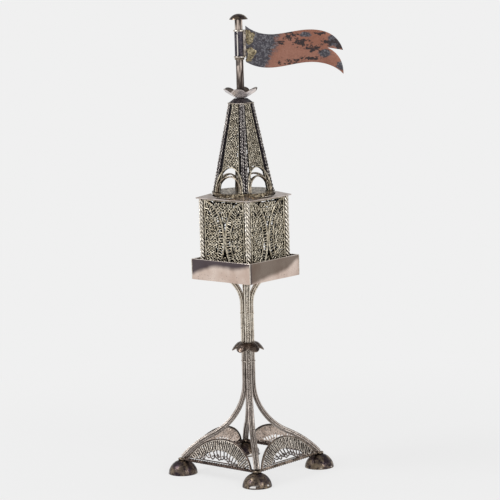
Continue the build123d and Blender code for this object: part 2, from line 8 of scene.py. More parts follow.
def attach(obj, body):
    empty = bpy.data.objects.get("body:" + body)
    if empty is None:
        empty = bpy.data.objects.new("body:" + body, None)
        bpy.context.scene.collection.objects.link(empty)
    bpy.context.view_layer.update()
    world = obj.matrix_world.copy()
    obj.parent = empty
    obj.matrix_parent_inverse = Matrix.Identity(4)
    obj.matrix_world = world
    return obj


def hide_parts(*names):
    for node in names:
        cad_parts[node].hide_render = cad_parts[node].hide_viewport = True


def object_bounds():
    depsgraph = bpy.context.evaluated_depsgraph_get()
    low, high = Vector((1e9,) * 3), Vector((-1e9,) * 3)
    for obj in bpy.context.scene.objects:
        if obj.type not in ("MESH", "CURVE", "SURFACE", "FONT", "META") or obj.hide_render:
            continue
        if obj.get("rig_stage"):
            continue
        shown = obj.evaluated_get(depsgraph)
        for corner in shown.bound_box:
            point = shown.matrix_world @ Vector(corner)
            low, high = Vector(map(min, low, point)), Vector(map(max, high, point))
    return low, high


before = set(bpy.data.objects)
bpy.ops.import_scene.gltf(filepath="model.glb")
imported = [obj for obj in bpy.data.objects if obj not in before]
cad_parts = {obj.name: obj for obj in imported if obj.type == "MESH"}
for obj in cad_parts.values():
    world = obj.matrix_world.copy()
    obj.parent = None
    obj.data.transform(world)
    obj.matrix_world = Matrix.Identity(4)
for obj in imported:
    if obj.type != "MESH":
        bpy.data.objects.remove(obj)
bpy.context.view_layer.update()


# Feet: hollow domes raised from silver sheet, one under each corner of the base, open underneath.
# They were polished once and have gone brown and black with age; small bright spots near the rim are painted
# glints, reflections of the pale floor and the lamps.
MM = 0.001
FOOT_PLACES = {1: (25.0, -25.0), 2: (25.0, 25.0), 3: (-25.0, 25.0), 4: (-25.0, -25.0)}
FOOT_RADIUS = 7.5
FOOT_RISE = 7.05
FOOT_FLAT = 6.78
FOOT_SHEET = 0.8
FOOT_EDGE = 0.18
DARK_TONES = ((0.235, 0.182, 0.130, 1), (0.058, 0.042, 0.050, 1), (0.022, 0.016, 0.021, 1))
RIM_GLINT = (0.860, 0.830, 0.810, 1)
GLINT_FROM = (0.5, 0.9)
GLINT_TO = (1.3, 2.2)
PATINA_INPUTS = {"Clean": "Color", "Stain": "Color", "Soot": "Color", "Scale": "Float", "Cover": "Float"}
PATINA_OUTPUTS = {"Color": "Color", "Soot Mask": "Float", "Height": "Float"}
PATINA_RELIEF = 0.2
FINE_GRAIN = 3.7


def only(*pieces):
    """Leave just these pieces selected, the first of them active."""
    bpy.ops.object.select_all(action="DESELECT")
    for piece in pieces:
        piece.select_set(True)
    bpy.context.view_layer.objects.active = pieces[0]


def settle(piece):
    """Put a piece's place and turn into its mesh, so that its object sits at the origin."""
    only(piece)
    bpy.ops.object.transform_apply(location=True, rotation=True, scale=True)
    return piece


def take(name):
    """Name the piece that an operator has just added."""
    piece = bpy.context.active_object
    piece.name = name
    piece.data.name = name
    return piece


def finish_with(piece, kind, **settings):
    """Add one modifier to a piece and apply it."""
    only(piece)
    modifier = piece.modifiers.new(kind.lower(), kind)
    for setting, value in settings.items():
        setattr(modifier, setting, value)
    bpy.ops.object.modifier_apply(modifier=modifier.name)
    return piece


def ease_edges(piece, width, angle, segments=2):
    """Take the sharpness off the edges that turn by more than an angle."""
    limit = math.radians(angle)
    finish_with(piece, "BEVEL", width=width * MM, segments=segments, limit_method="ANGLE", angle_limit=limit)


def dress(piece, finish, body, slot, *nodes):
    """Give a piece its finish, fix it to its body and let it stand for its solids."""
    piece.data.materials.clear()
    piece.data.materials.append(finish)
    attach(piece, body)
    if nodes:
        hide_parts(*nodes)


def add_node(tree, kind, inputs=None, **settings):
    """Add a shader node, set it, and set or link its inputs."""
    made = tree.nodes.new("ShaderNode" + kind)
    for setting, value in settings.items():
        setattr(made, setting, value)
    for socket, value in (inputs or {}).items():
        if isinstance(value, bpy.types.NodeSocket):
            tree.links.new(value, made.inputs[socket])
        else:
            made.inputs[socket].default_value = value
    return made


def blend_colours(tree, share, below, above, kind="MIX"):
    """Lay one colour over another by a share."""
    made = add_node(tree, "Mix", {0: share, 6: below, 7: above}, data_type="RGBA", blend_type=kind)
    return made.outputs[2]


def spread(tree, value, low, high, least=0.0, most=1.0):
    """Stretch the part of a value between two limits."""
    limits = {0: value, 1: low, 2: high, 3: least, 4: most}
    return add_node(tree, "MapRange", limits, interpolation_type="SMOOTHSTEP").outputs[0]


def reckon(tree, kind, first, second):
    """Work out one number from two."""
    return add_node(tree, "Math", {0: first, 1: second}, operation=kind).outputs[0]


def noise(tree, where, scale, detail, roughness=0.5):
    """Cloudy pattern over a surface."""
    inputs = {"Vector": where, "Scale": scale, "Detail": detail, "Roughness": roughness}
    return add_node(tree, "TexNoise", inputs).outputs[0]


def surface_place(tree):
    """Place of a point of the surface, whole and as its three measures."""
    where = add_node(tree, "TexCoord").outputs["Object"]
    return where, add_node(tree, "SeparateXYZ", {0: where}).outputs


def feed(tree, shader, colour, rough, relief, strength, depth):
    """Give a shader its colour, its roughness and a relief of a depth in millimetres."""
    bump = add_node(tree, "Bump", {"Height": relief, "Strength": strength, "Distance": depth * MM})
    for socket, value in (("Base Color", colour), ("Roughness", rough), ("Normal", bump.outputs[0])):
        tree.links.new(value, shader.inputs[socket])


def silver_metal(name, metallic=1.0):
    """Start a metal finish: its material, its tree and its shader."""
    finish = bpy.data.materials.new(name)
    finish.use_nodes = True
    shader = finish.node_tree.nodes["Principled BSDF"]
    shader.inputs["Metallic"].default_value = metallic
    return finish, finish.node_tree, shader


# Patina, shared by every silver finish: clean metal under a wide stain, with soot in finer spots
patina = bpy.data.node_groups.new("patina", "ShaderNodeTree")
for label, kind in PATINA_INPUTS.items():
    patina.interface.new_socket(label, in_out="INPUT", socket_type="NodeSocket" + kind)
for label, kind in PATINA_OUTPUTS.items():
    patina.interface.new_socket(label, in_out="OUTPUT", socket_type="NodeSocket" + kind)
given = patina.nodes.new("NodeGroupInput")
shown = patina.nodes.new("NodeGroupOutput")
where = add_node(patina, "TexCoord").outputs["Object"]
wide = noise(patina, where, given.outputs["Scale"], 3.0)
fine_scale = reckon(patina, "MULTIPLY", given.outputs["Scale"], FINE_GRAIN)
fine = noise(patina, where, fine_scale, 4.0, 0.65)
stain = spread(patina, wide, 0.38, 0.64)
covered = reckon(patina, "ADD", fine, given.outputs["Cover"])
soot = spread(patina, covered, 0.78, 1.02)
stained = blend_colours(patina, stain, given.outputs["Clean"], given.outputs["Stain"])
sooted = blend_colours(patina, soot, stained, given.outputs["Soot"])
patina.links.new(sooted, shown.inputs["Color"])
patina.links.new(soot, shown.inputs["Soot Mask"])
patina.links.new(fine, shown.inputs["Height"])


def lay_patina(tree, shader, clean, stain, soot, scale, cover, rough, relief, shade_reach=0.0, painted_shade=None):
    """Feed a shader from the patina: colour, roughness between two values and relief.

    The next to last argument is how far painted shade (ambient occlusion) creeps out of the gaps between
    wires, the last a share of painted shade laid on in the soot colour.
    """
    group = add_node(tree, "Group", node_tree=patina)
    for label, value in zip(PATINA_INPUTS, (clean, stain, soot, scale, cover)):
        group.inputs[label].default_value = value
    colour = group.outputs["Color"]
    if shade_reach:
        # Painted shade: ambient occlusion darkens the colour toward the soot colour between crowded wires.
        occlusion = add_node(tree, "AmbientOcclusion", {"Distance": shade_reach * MM}, samples=6)
        share = spread(tree, occlusion.outputs["AO"], 0.2, 0.7, 0.8, 0.0)
        colour = blend_colours(tree, share, colour, soot)
    # Painted shade laid on by a given share, in the soot colour.
    if painted_shade is not None:
        colour = blend_colours(tree, painted_shade, colour, soot)
    dullness = spread(tree, group.outputs["Soot Mask"], 0, 1, *rough)
    feed(tree, shader, colour, dullness, group.outputs["Height"], relief, PATINA_RELIEF)
    return colour


foot_silver, tree, shader = silver_metal("foot_silver")
dark = lay_patina(tree, shader, *DARK_TONES, 190.0, 0.36, (0.33, 0.46), 0.12)
where, axes = surface_place(tree)
# Painted glints: bright spots in a band just above the rim stand for reflections of the floor and lamps.
above = spread(tree, axes["Z"], *[level * MM for level in GLINT_FROM])
below = spread(tree, axes["Z"], *[level * MM for level in GLINT_TO], 1.0, 0.0)
low = reckon(tree, "MULTIPLY", above, below)
painted_glint = reckon(tree, "MULTIPLY", low, spread(tree, noise(tree, where, 330.0, 1.0), 0.57, 0.64))
tree.links.new(blend_colours(tree, painted_glint, dark, RIM_GLINT), shader.inputs["Base Color"])

foot_ball = (FOOT_RADIUS**2 + FOOT_RISE**2) / (2 * FOOT_RISE)
for number, (east, north) in FOOT_PLACES.items():
    bpy.ops.object.select_all(action="DESELECT")
    centre = (east * MM, north * MM, (FOOT_RISE - foot_ball) * MM)
    bpy.ops.mesh.primitive_uv_sphere_add(segments=64, ring_count=40, radius=foot_ball * MM, location=centre)
    foot = settle(take(f"foot_{number}"))
    bpy.ops.object.mode_set(mode="EDIT")
    bpy.ops.mesh.select_all(action="SELECT")
    bpy.ops.mesh.bisect(plane_co=(0, 0, 0), plane_no=(0, 0, 1), clear_inner=True)
    bpy.ops.mesh.select_all(action="SELECT")
    bpy.ops.mesh.bisect(plane_co=(0, 0, FOOT_FLAT * MM), plane_no=(0, 0, 1), clear_outer=True, use_fill=True)
    bpy.ops.object.mode_set(mode="OBJECT")
    finish_with(foot, "SOLIDIFY", thickness=FOOT_SHEET * MM, offset=-1.0)
    for vertex in foot.data.vertices:
        vertex.co.z = max(vertex.co.z, 0.0)
    ease_edges(foot, FOOT_EDGE, 50)
    bpy.ops.object.shade_smooth_by_angle(angle=math.radians(40))
    dress(foot, foot_silver, "tower", "dark_silver", f"foot_dome_{number}")


# Pads: small square silver plates soldered to the crowns of the feet, where rails and legs meet.
# Solder has run over their edges, so the corners are soft.
PAD_SIZE = (3.6, 3.6, 1.4)
PAD_MIDDLE = 7.48
PAD_EDGE = 0.6
SOLDER_TONES = ((0.36, 0.29, 0.22, 1), (0.15, 0.115, 0.085, 1), (0.03, 0.024, 0.02, 1))


def solder_together(name, pieces):
    """Join parts into one piece."""
    only(*pieces)
    bpy.ops.object.join()
    return take(name)


def patinated(name, tones, scale, cover, rough, relief, metallic=1.0, shade_reach=0.0, painted_shade=None):
    """Metal finish under the patina; the last argument makes, in the finish's tree, the share of painted
    shade.
    """
    finish, tree, shader = silver_metal(name, metallic)
    lay_patina(tree, shader, *tones, scale, cover, rough, relief, shade_reach, painted_shade(tree) if painted_shade else None)
    return finish


pads = []
for number, (east, north) in FOOT_PLACES.items():
    bpy.ops.object.select_all(action="DESELECT")
    bpy.ops.mesh.primitive_cube_add(size=1, location=(east * MM, north * MM, PAD_MIDDLE * MM))
    pad = take(f"pad_{number}")
    pad.scale = [side * MM for side in PAD_SIZE]
    settle(pad)
    finish_with(pad, "BEVEL", width=PAD_EDGE * MM, segments=3)
    pads.append(pad)
pads = solder_together("foot_pads_soldered", pads)
bpy.ops.object.shade_smooth_by_angle(angle=math.radians(40))
solder_silver = patinated("solder_silver", SOLDER_TONES, 420.0, 0.36, (0.3, 0.5), 0.5)
dress(pads, solder_silver, "tower", "dark_silver", "foot_pads")


# Base arches: a rail laid of three silver wires from pad to pad on each side, with a plain wire along it, and
# over them an arched rim of two plain wires, soldered to the rail's ends and leaning inward to the legs.
# The rails and outer wires are dark and the inner wires pale; on the side facing +X they get a lighter copy
# of their finish as painted light, on the others a darker copy as painted shade.
RAIL_HALF = 23.6
RAIL_HEIGHT = 7.48
RAIL_STRAND = 0.46
RAIL_CENTRES = 0.50
SILL_WIRE = 0.3
SILL_RISE = 0.7
SILL_HALF = 21.1
RAIL_STRANDS = 3
RAIL_PITCH = 4.8
ARCH_LEAN = 22.0
ARCH_FOOT = (0.0, -25.0, 8.18)
ARCH_HALF = 21.7
ARCH_RISE = 13.0
OUTER_RIM = (0.33, 0.33)
INNER_RIM = (0.30, 0.95)
RIM_DEPTH = 1.7
WIRE_SOOT = (0.030, 0.024, 0.021, 1)
WIRE_TONES = ((0.760, 0.690, 0.610, 1), (0.460, 0.400, 0.340, 1), WIRE_SOOT)
SHADED_RAIL_TONES = ((0.170, 0.125, 0.105, 1), (0.075, 0.055, 0.050, 1), WIRE_SOOT)
LIT_RAIL_TONES = ((0.400, 0.315, 0.255, 1), (0.215, 0.165, 0.130, 1), WIRE_SOOT)


def bend_wires(name, paths, radius, sides=0, closed=False, taper=None, tilt=0.0):
    """Bend wires of one gauge along paths of points in millimetres and make them one mesh."""
    curve = bpy.data.curves.new(name, "CURVE")
    curve.dimensions = "3D"
    curve.bevel_depth = radius * MM
    curve.bevel_resolution = sides
    curve.use_fill_caps = True
    curve.twist_mode = "Z_UP" if tilt else "MINIMUM"
    for path in paths:
        line = curve.splines.new("POLY")
        line.points.add(len(path) - 1)
        for i, (point, place) in enumerate(zip(line.points, path)):
            point.co = (place[0] * MM, place[1] * MM, (place[2] if len(place) > 2 else 0.0) * MM, 1.0)
            point.radius = taper(i / (len(path) - 1)) if taper else 1.0
            point.tilt = math.radians(tilt)
        line.use_cyclic_u = closed
    wires = bpy.data.objects.new(name, curve)
    bpy.context.collection.objects.link(wires)
    only(wires)
    bpy.ops.object.convert(target="MESH")
    return take(name)


def twist(path, across, reach, strands, pitch, hand=1, start=0.0):
    """Strand paths of a rope laid along a path; across is a direction off it, hand the way of the lay."""
    lines = [[] for k in range(strands)]
    run = 0.0
    for i, place in enumerate(path):
        place = Vector(place)
        ahead = Vector(path[min(i + 1, len(path) - 1)]) - Vector(path[max(i - 1, 0)])
        if i:
            run += (place - Vector(path[i - 1])).length
        side = (Vector(across) - ahead * (Vector(across).dot(ahead) / ahead.length_squared)).normalized()
        up = ahead.normalized().cross(side)
        width = reach(i / (len(path) - 1)) if callable(reach) else reach
        for k, line in enumerate(lines):
            turn = start + hand * 2 * math.pi * run / pitch + 2 * math.pi * k / strands
            line.append(place + (side * math.cos(turn) + up * math.sin(turn)) * width)
    return lines


def stretch(start, end, count):
    """Points evenly along a straight line."""
    return [Vector(start).lerp(Vector(end), i / count) for i in range(count + 1)]


def lay_flat(wires, plane, depth):
    """Stand wires that were bent flat on their plane, the wire drawn deeper than wide."""
    wires.matrix_world = plane @ Matrix.Scale(depth, 4, (0, 0, 1))
    return settle(wires)


def sloped_plane(place, lean):
    """Plane on the side facing -Y, leaning inward: X along the side, Y up the slope, Z outward."""
    turn = math.radians(lean)
    across, upward = Vector((1, 0, 0)), Vector((0, math.sin(turn), math.cos(turn)))
    axes = Matrix((across, upward, across.cross(upward))).transposed().to_4x4()
    return Matrix.Translation(Vector(place) * MM) @ axes


def arc_points(radius, centre, half_angle, count):
    """Points of an arch about a centre on the Y axis, from its left foot to its right."""
    turns = [half_angle * (2 * i / count - 1) for i in range(count + 1)]
    return [(radius * math.sin(turn), centre + radius * math.cos(turn)) for turn in turns]


def turned_copy(piece, name, degrees):
    """Copy a piece with a mesh of its own, turned about the tower's axis."""
    twin = piece.copy()
    twin.data = piece.data.copy()
    twin.name = name
    twin.data.name = name
    bpy.context.collection.objects.link(twin)
    twin.matrix_world = Matrix.Rotation(math.radians(degrees), 4, "Z")
    return settle(twin)


def set_round(piece, stem, finishes, body, node=None):
    """Repeat a piece on the other three sides and dress all four, each in its own finish."""
    for number in (2, 3, 4, 1):
        twin = turned_copy(piece, f"{stem}_{number}", 90 * (number - 1)) if number > 1 else piece
        dress(twin, finishes[number - 1], body, "filigree_silver", *([f"{node}_{number}"] if node else []))


filigree_silver = patinated("filigree_silver", WIRE_TONES, 330.0, 0.34, (0.30, 0.5), 0.4, shade_reach=0.7)
shaded_rail = patinated("shaded_rail", SHADED_RAIL_TONES, 260.0, 0.36, (0.28, 0.48), 0.4, shade_reach=0.7)
lit_rail = patinated("lit_rail", LIT_RAIL_TONES, 260.0, 0.36, (0.28, 0.48), 0.4, shade_reach=0.7)

base_plane = sloped_plane(ARCH_FOOT, ARCH_LEAN)
arch_radius = (ARCH_HALF**2 + ARCH_RISE**2) / (2 * ARCH_RISE)
arch_centre = ARCH_RISE - arch_radius
arch_angle = math.asin(ARCH_HALF / arch_radius)
rims = []
for radius, inset in (OUTER_RIM, INNER_RIM):
    rim = bend_wires("rim", [arc_points(arch_radius - inset, arch_centre, arch_angle, 44)], radius, sides=1)
    rims.append(lay_flat(rim, base_plane, RIM_DEPTH))
outer_rim, inner_rim = rims
rail_line = stretch((-RAIL_HALF, ARCH_FOOT[1], RAIL_HEIGHT), (RAIL_HALF, ARCH_FOOT[1], RAIL_HEIGHT), 110)
rail_strands = twist(rail_line, (0, 1, 0), RAIL_CENTRES, RAIL_STRANDS, RAIL_PITCH)
rail = bend_wires("rail", rail_strands, RAIL_STRAND, sides=1)
sill_line = [(-SILL_HALF, SILL_RISE), (SILL_HALF, SILL_RISE)]
sill = lay_flat(bend_wires("sill", [sill_line], SILL_WIRE, sides=1), base_plane, RIM_DEPTH)
base_edge = solder_together("base_edge_1", [rail, sill, outer_rim])
inner_rim.name = "base_rim_1"
# Painted light and shade: the rail and rim on the side facing +X take the lighter copy of the finish, the
# other three the darker.
set_round(base_edge, "base_edge", (shaded_rail, lit_rail, shaded_rail, shaded_rail), "tower", "base_arch")
set_round(inner_rim, "base_rim", [filigree_silver] * 4, "tower")


# Base filigree: flat wire bent by hand and soldered inside the arch. A comb of long hairpins hangs from the
# rim, and dark hooked curls follow under it and leave gaps above the rail that light shows through.
COMB_PITCH = 2.7
COMB_LENGTH = 5.3
COMB_WIDTH = 1.3
COMB_WIRE = 0.27
COMB_DEPTH = 3.0
CURL_PITCH = 2.5
CURL_LENGTH = 5.6
CURL_WIRE = 0.36
CURL_DEPTH = 1.3
CURL_LEAN = 0.35
HOOK_RADIUS = 1.08
HOOK_SHARE = 0.32
HOOK_TURN = 297.0
FLAT_TURN = 45.0
COMB_INSET = 1.15
COMB_SPAN = 0.985
ROW_OVERLAP = 0.5
COMB_LEAN = 0.08
RAIL_CLEAR = 0.5
SHORTEST_LOOP = 1.4
LOWEST_CURL = 1.6
COMB_BLACK = 0.2
COMB_BRIGHT = 0.5
CURL_TONES = ((0.290, 0.245, 0.225, 1), (0.120, 0.098, 0.092, 1), WIRE_SOOT)
ROSE_TONES = ((0.950, 0.820, 0.730, 1), (0.660, 0.540, 0.460, 1), WIRE_SOOT)

random.seed(11)


def hairpin(foot, out, length, width):
    """Narrow loop that starts at a foot, runs out along a direction and comes back beside itself."""
    foot, out = Vector(foot), Vector(out).normalized()
    side = Vector((-out.y, out.x)) * width / 2
    bend = foot + out * (length - width / 2)
    return [
        foot + side * 0.7,
        foot + side + out * length * 0.3,
        bend + side,
        bend + (side + out * width / 2) * 0.75,
        bend + out * width / 2,
        bend - (side - out * width / 2) * 0.75,
        bend - side,
        foot - side + out * length * 0.3,
        foot - side * 0.7,
    ]


def hook(foot, out, length, radius, hand):
    """Straight shank that ends in a curl, as a shepherd's crook."""
    foot, out = Vector(foot), Vector(out).normalized()
    side = Vector((-out.y, out.x)) * hand
    middle = foot + out * (length - radius) + side * radius
    points = [foot, foot + out * (length - radius) * 0.55 - side * 0.12]
    for i in range(9):
        turn = math.radians(HOOK_TURN) * i / 8
        shrink = radius * (1 - 0.05 * i)
        points.append(middle - side * math.cos(turn) * shrink + out * math.sin(turn) * shrink)
    return points


# Painted shade on the inward side of a panel's wires, darkening them toward the inside of the tower
inner_shade = bpy.data.node_groups.new("inner_shade", "ShaderNodeTree")
for label in ("Distance", "Slope", "Foot", "Black", "Clean"):
    inner_shade.interface.new_socket(label, in_out="INPUT", socket_type="NodeSocketFloat")
inner_shade.interface.new_socket("Share", in_out="OUTPUT", socket_type="NodeSocketFloat")
given = inner_shade.nodes.new("NodeGroupInput")
shown = inner_shade.nodes.new("NodeGroupOutput")
axes = surface_place(inner_shade)[1]
east, north = [reckon(inner_shade, "ABSOLUTE", axes[axis], 0.0) for axis in ("X", "Y")]
height = reckon(inner_shade, "SUBTRACT", axes["Z"], given.outputs["Foot"])
lean_in = reckon(inner_shade, "MULTIPLY", height, given.outputs["Slope"])
out = reckon(inner_shade, "ADD", reckon(inner_shade, "MAXIMUM", east, north), lean_in)
proud = reckon(inner_shade, "SUBTRACT", out, given.outputs["Distance"])
share = spread(inner_shade, proud, given.outputs["Black"], given.outputs["Clean"], 1.0, 0.0)
inner_shade.links.new(share, shown.inputs["Share"])


def shaded_inside(tree, distance, lean, foot, black, clean):
    """Share of painted shade on a panel's wires, from black at one depth of its plane to none at another."""
    group = add_node(tree, "Group", node_tree=inner_shade)
    group.inputs["Slope"].default_value = math.tan(math.radians(lean))
    for label, size in (("Distance", distance), ("Foot", foot), ("Black", black), ("Clean", clean)):
        group.inputs[label].default_value = size * MM
    return group.outputs["Share"]


comb_radius = arch_radius - COMB_INSET
step = COMB_PITCH / comb_radius
combs, curls = [], []
count = int(arch_angle * COMB_SPAN / step)
for i in range(-count, count + 1):
    turn = i * step
    ray = Vector((math.sin(turn), math.cos(turn)))
    foot = ray * comb_radius + Vector((0, arch_centre))
    inward = -ray
    inward.rotate(Matrix.Rotation(random.uniform(-0.04, 0.04) + COMB_LEAN, 2))
    room = (foot.y - RAIL_CLEAR) / max(ray.y, 0.05)
    length = min(COMB_LENGTH * random.uniform(0.94, 1.05), room)
    if length < SHORTEST_LOOP:
        continue
    combs.append(hairpin(foot, inward, length, COMB_WIDTH * random.uniform(0.92, 1.08)))
curl_radius = comb_radius - COMB_LENGTH + ROW_OVERLAP
step = CURL_PITCH / curl_radius
for i in range(-40, 41):
    turn = (i + 0.5) * step
    ray = Vector((math.sin(turn), math.cos(turn)))
    foot = ray * curl_radius + Vector((0, arch_centre))
    if foot.y > LOWEST_CURL and abs(turn) < arch_angle:
        room = (foot.y - RAIL_CLEAR) / max(ray.y, 0.05)
        length = min(CURL_LENGTH * random.uniform(0.92, 1.12), room)
        lean = -ray
        lean.rotate(Matrix.Rotation(random.uniform(-0.1, 0.1) + CURL_LEAN, 2))
        curls.append(hook(foot, lean, length, min(HOOK_RADIUS, length * HOOK_SHARE), 1))
filling = lay_flat(bend_wires("base_filling_1", combs, COMB_WIRE, tilt=FLAT_TURN), base_plane, COMB_DEPTH)
curled = lay_flat(bend_wires("base_curls_1", curls, CURL_WIRE), base_plane, CURL_DEPTH)
# The combs carry painted shade on their inward side; the two far sides take the rose finish instead.
comb_silver = patinated(
    "comb_silver", WIRE_TONES, 330.0, 0.32, (0.30, 0.5), 0.4,
    painted_shade=lambda tree: shaded_inside(tree, -ARCH_FOOT[1], ARCH_LEAN, ARCH_FOOT[2], COMB_BLACK, COMB_BRIGHT),
)
curl_silver = patinated("curl_silver", CURL_TONES, 260.0, 0.36, (0.3, 0.5), 0.4)
rose_filigree = patinated("rose_filigree", ROSE_TONES, 260.0, 0.30, (0.40, 0.6), 0.4, metallic=0.45, shade_reach=0.4)
set_round(filling, "base_filling", [comb_silver] * 2 + [rose_filigree] * 2, "tower", "base_filigree")
set_round(curled, "base_curls", [curl_silver] * 2 + [rose_filigree] * 2, "tower")


# Legs: four ridged bars, each a bundle of plain and twisted silver wires soldered side by side. They rise
# from the pads, close up into the stem around a square core and bend out again to the tray's underside.
# Two thin wires bind them.
STEM_RADIUS = 2.05
LEG_SPLIT = 46.8
LEG_BEND = 30.0
LEG_FOOT = (35.155, 8.18)
LEG_SLOPE = 48.0
FLARE_RADIUS = 17.4
FLARE_START = 86.8
FLARE_TURN = 64.0
LEG_TOP = 101.0
LEG_TWIST = 1.9
PLAIN_WIRES = (
    # place across the leg, place out from its middle line, radius
    (-1.17, 0.94, 0.39), (1.17, 0.94, 0.39), (-1.14, 0.14, 0.40), (1.14, 0.14, 0.40),
    (0.0, 0.2, 0.75), (0.0, -0.98, 0.35),
)
TWISTED_WIRES = ((-0.39, 0.94, 1), (0.39, 0.94, -1), (-0.36, -0.62, 1), (0.36, -0.62, -1))
TWISTED_STRAND = 0.205
TWISTED_CENTRES = 0.1845
RIBBON_TONES = ((0.90, 0.83, 0.72, 1), (0.68, 0.61, 0.52, 1), (0.034, 0.028, 0.026, 1))
LEG_DULL = (0.60, 0.575, 0.60, 1)
LEG_DULL_TO = 50.0
LEG_DULL_FROM = 78.0
BINDING_HEIGHTS = (57.5, 82.3)
BINDING_WIRE = 0.16
BINDING_CORNER = (3.46, 1.62)


def swing(centre, radius, first, last, count, facing):
    """Points of an arc, each with the direction that points out of the leg."""
    points = []
    for i in range(count + 1):
        turn = first + (last - first) * i / count
        out = Vector((math.cos(turn), math.sin(turn)))
        points.append((centre + out * radius, out * facing))
    return points


def leg_line():
    """Middle line of a leg in radius and height, with its outward direction, from pad to tray."""
    split, foot = Vector((STEM_RADIUS, LEG_SPLIT)), Vector(LEG_FOOT)
    slope = math.radians(LEG_SLOPE)
    bend_centre = split + Vector((LEG_BEND, 0))
    inward = Vector((-math.sin(slope), -math.cos(slope)))
    across = bend_centre - foot
    sweep = (across.dot(across) - LEG_BEND**2) / (2 * (across.dot(inward) + LEG_BEND))
    sweep_centre = foot + inward * sweep
    towards = (sweep_centre - bend_centre).normalized()
    flare_centre = Vector((STEM_RADIUS + FLARE_RADIUS, FLARE_START))
    line = swing(sweep_centre, sweep, math.pi / 2 - slope, math.atan2(-towards.y, -towards.x), 90, 1)
    line += swing(bend_centre, LEG_BEND, math.atan2(towards.y, towards.x), -math.pi, 110, -1)[1:]
    for i in range(1, 171):
        height = LEG_SPLIT + (FLARE_START - LEG_SPLIT) * i / 170
        line.append((Vector((STEM_RADIUS, height)), Vector((1, 0))))
    line += swing(flare_centre, FLARE_RADIUS, math.pi, math.pi - math.radians(FLARE_TURN), 80, -1)[1:]
    return line


def leg_wire(across, out):
    """Path of one wire of a leg, cut where it meets the tray."""
    places = [middle + outward * out for middle, outward in leg_line()]
    return [(place.x, across, place.y) for place in places if place.y < LEG_TOP]


def refinish(finish, *nodes):
    """Give solids that keep their own shape a worked finish."""
    for name in nodes:
        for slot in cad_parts[name].material_slots:
            slot.material = finish


leg_wires = []
for across, out, radius in PLAIN_WIRES:
    line = leg_wire(across, out)
    leg_wires.append(bend_wires("leg_wire", [line[::3] + line[-1:]], radius, sides=1))
for across, out, hand in TWISTED_WIRES:
    strands = twist(leg_wire(across, out), (0, 1, 0), TWISTED_CENTRES, 2, LEG_TWIST, hand)
    leg_wires.append(bend_wires("leg_wire", strands, TWISTED_STRAND))
leg = solder_together("leg_1", leg_wires)
leg.matrix_world = Matrix.Rotation(math.radians(-45), 4, "Z")
settle(leg)
ribbon_silver, tree, shader = silver_metal("ribbon_silver")
bare = lay_patina(tree, shader, *RIBBON_TONES, 240.0, 0.26, (0.3, 0.46), 0.3, shade_reach=0.42)
axes = surface_place(tree)[1]
dulled = blend_colours(tree, 1.0, bare, LEG_DULL, "MULTIPLY")
worn = blend_colours(tree, spread(tree, axes["Z"], LEG_DULL_TO * MM, LEG_DULL_FROM * MM), dulled, bare)
tree.links.new(worn, shader.inputs["Base Color"])
set_round(leg, "leg", [ribbon_silver] * 4, "tower", "leg_ribbon")
dark_silver = patinated("dark_silver", DARK_TONES, 190.0, 0.34, (0.17, 0.36), 0.12)
refinish(dark_silver, "stem_core")
rounds = []
for height in BINDING_HEIGHTS:
    turns = []
    for quarter in range(4):
        turn = Matrix.Rotation(math.radians(90 * quarter - 45), 3, "Z")
        for side in (-1, 1):
            turns.append(turn @ Vector((BINDING_CORNER[0], side * BINDING_CORNER[1], height)))
    rounds.append(turns)
binding = bend_wires("stem_bindings_wire", rounds, BINDING_WIRE, sides=1, closed=True)
dress(binding, ribbon_silver, "tower", "filigree_silver", "stem_bindings")


# Knop: six drooping petals cut from one silver sheet, raised over a stake and threaded on the stem.
# Each petal is cupped, and the sheet is nearly black with a worn tan edge.
KNOP_TIP = 62.7
KNOP_TOP = 67.5
KNOP_REACH = 8.2
KNOP_BORE = 3.75
KNOP_TURN = -19.4
PETALS = 6
KNOP_ROUND = 3.4
KNOP_FOLD = 0.9
KNOP_DROOP = 1.9
PETAL_SHEET = 0.55
PETAL_RINGS = 12
KNOP_TONES = ((0.165, 0.125, 0.100, 1), (0.070, 0.052, 0.044, 1), (0.016, 0.012, 0.012, 1))
KNOP_RIM_TONES = ((0.640, 0.540, 0.470, 1), (0.360, 0.285, 0.235, 1), (0.060, 0.046, 0.040, 1))


def ring_sheet(name, radii, corners):
    """Flat sheet of rings about the axis: a circle extruded outward ring by ring."""
    bpy.ops.object.select_all(action="DESELECT")
    bpy.ops.mesh.primitive_circle_add(vertices=corners, radius=radii[0] * MM)
    sheet = take(name)
    bpy.ops.object.mode_set(mode="EDIT")
    bpy.ops.mesh.select_all(action="SELECT")
    for inner, outer in zip(radii, radii[1:]):
        bpy.ops.mesh.extrude_edges_move()
        bpy.ops.transform.resize(value=(outer / inner,) * 3, center_override=(0, 0, 0))
    bpy.ops.object.mode_set(mode="OBJECT")
    return sheet


def petal_reach(turn, reach, first, petal_round):
    """Distance from the axis to a flower's edge at a turn, and how near a petal's middle that turn is."""
    whole = 2 * math.pi / PETALS
    off = (turn - math.radians(first) + whole / 2) % whole - whole / 2
    middle = reach - petal_round
    edge = middle * math.cos(off) + math.sqrt(max(petal_round**2 - (middle * math.sin(off)) ** 2, 0))
    return edge, math.cos(off * PETALS / 2)


def face_outward(piece):
    """Turn the faces of a piece the same way, outward where it is closed."""
    only(piece)
    bpy.ops.object.mode_set(mode="EDIT")
    bpy.ops.mesh.select_all(action="SELECT")
    bpy.ops.mesh.normals_make_consistent(inside=False)
    bpy.ops.object.mode_set(mode="OBJECT")


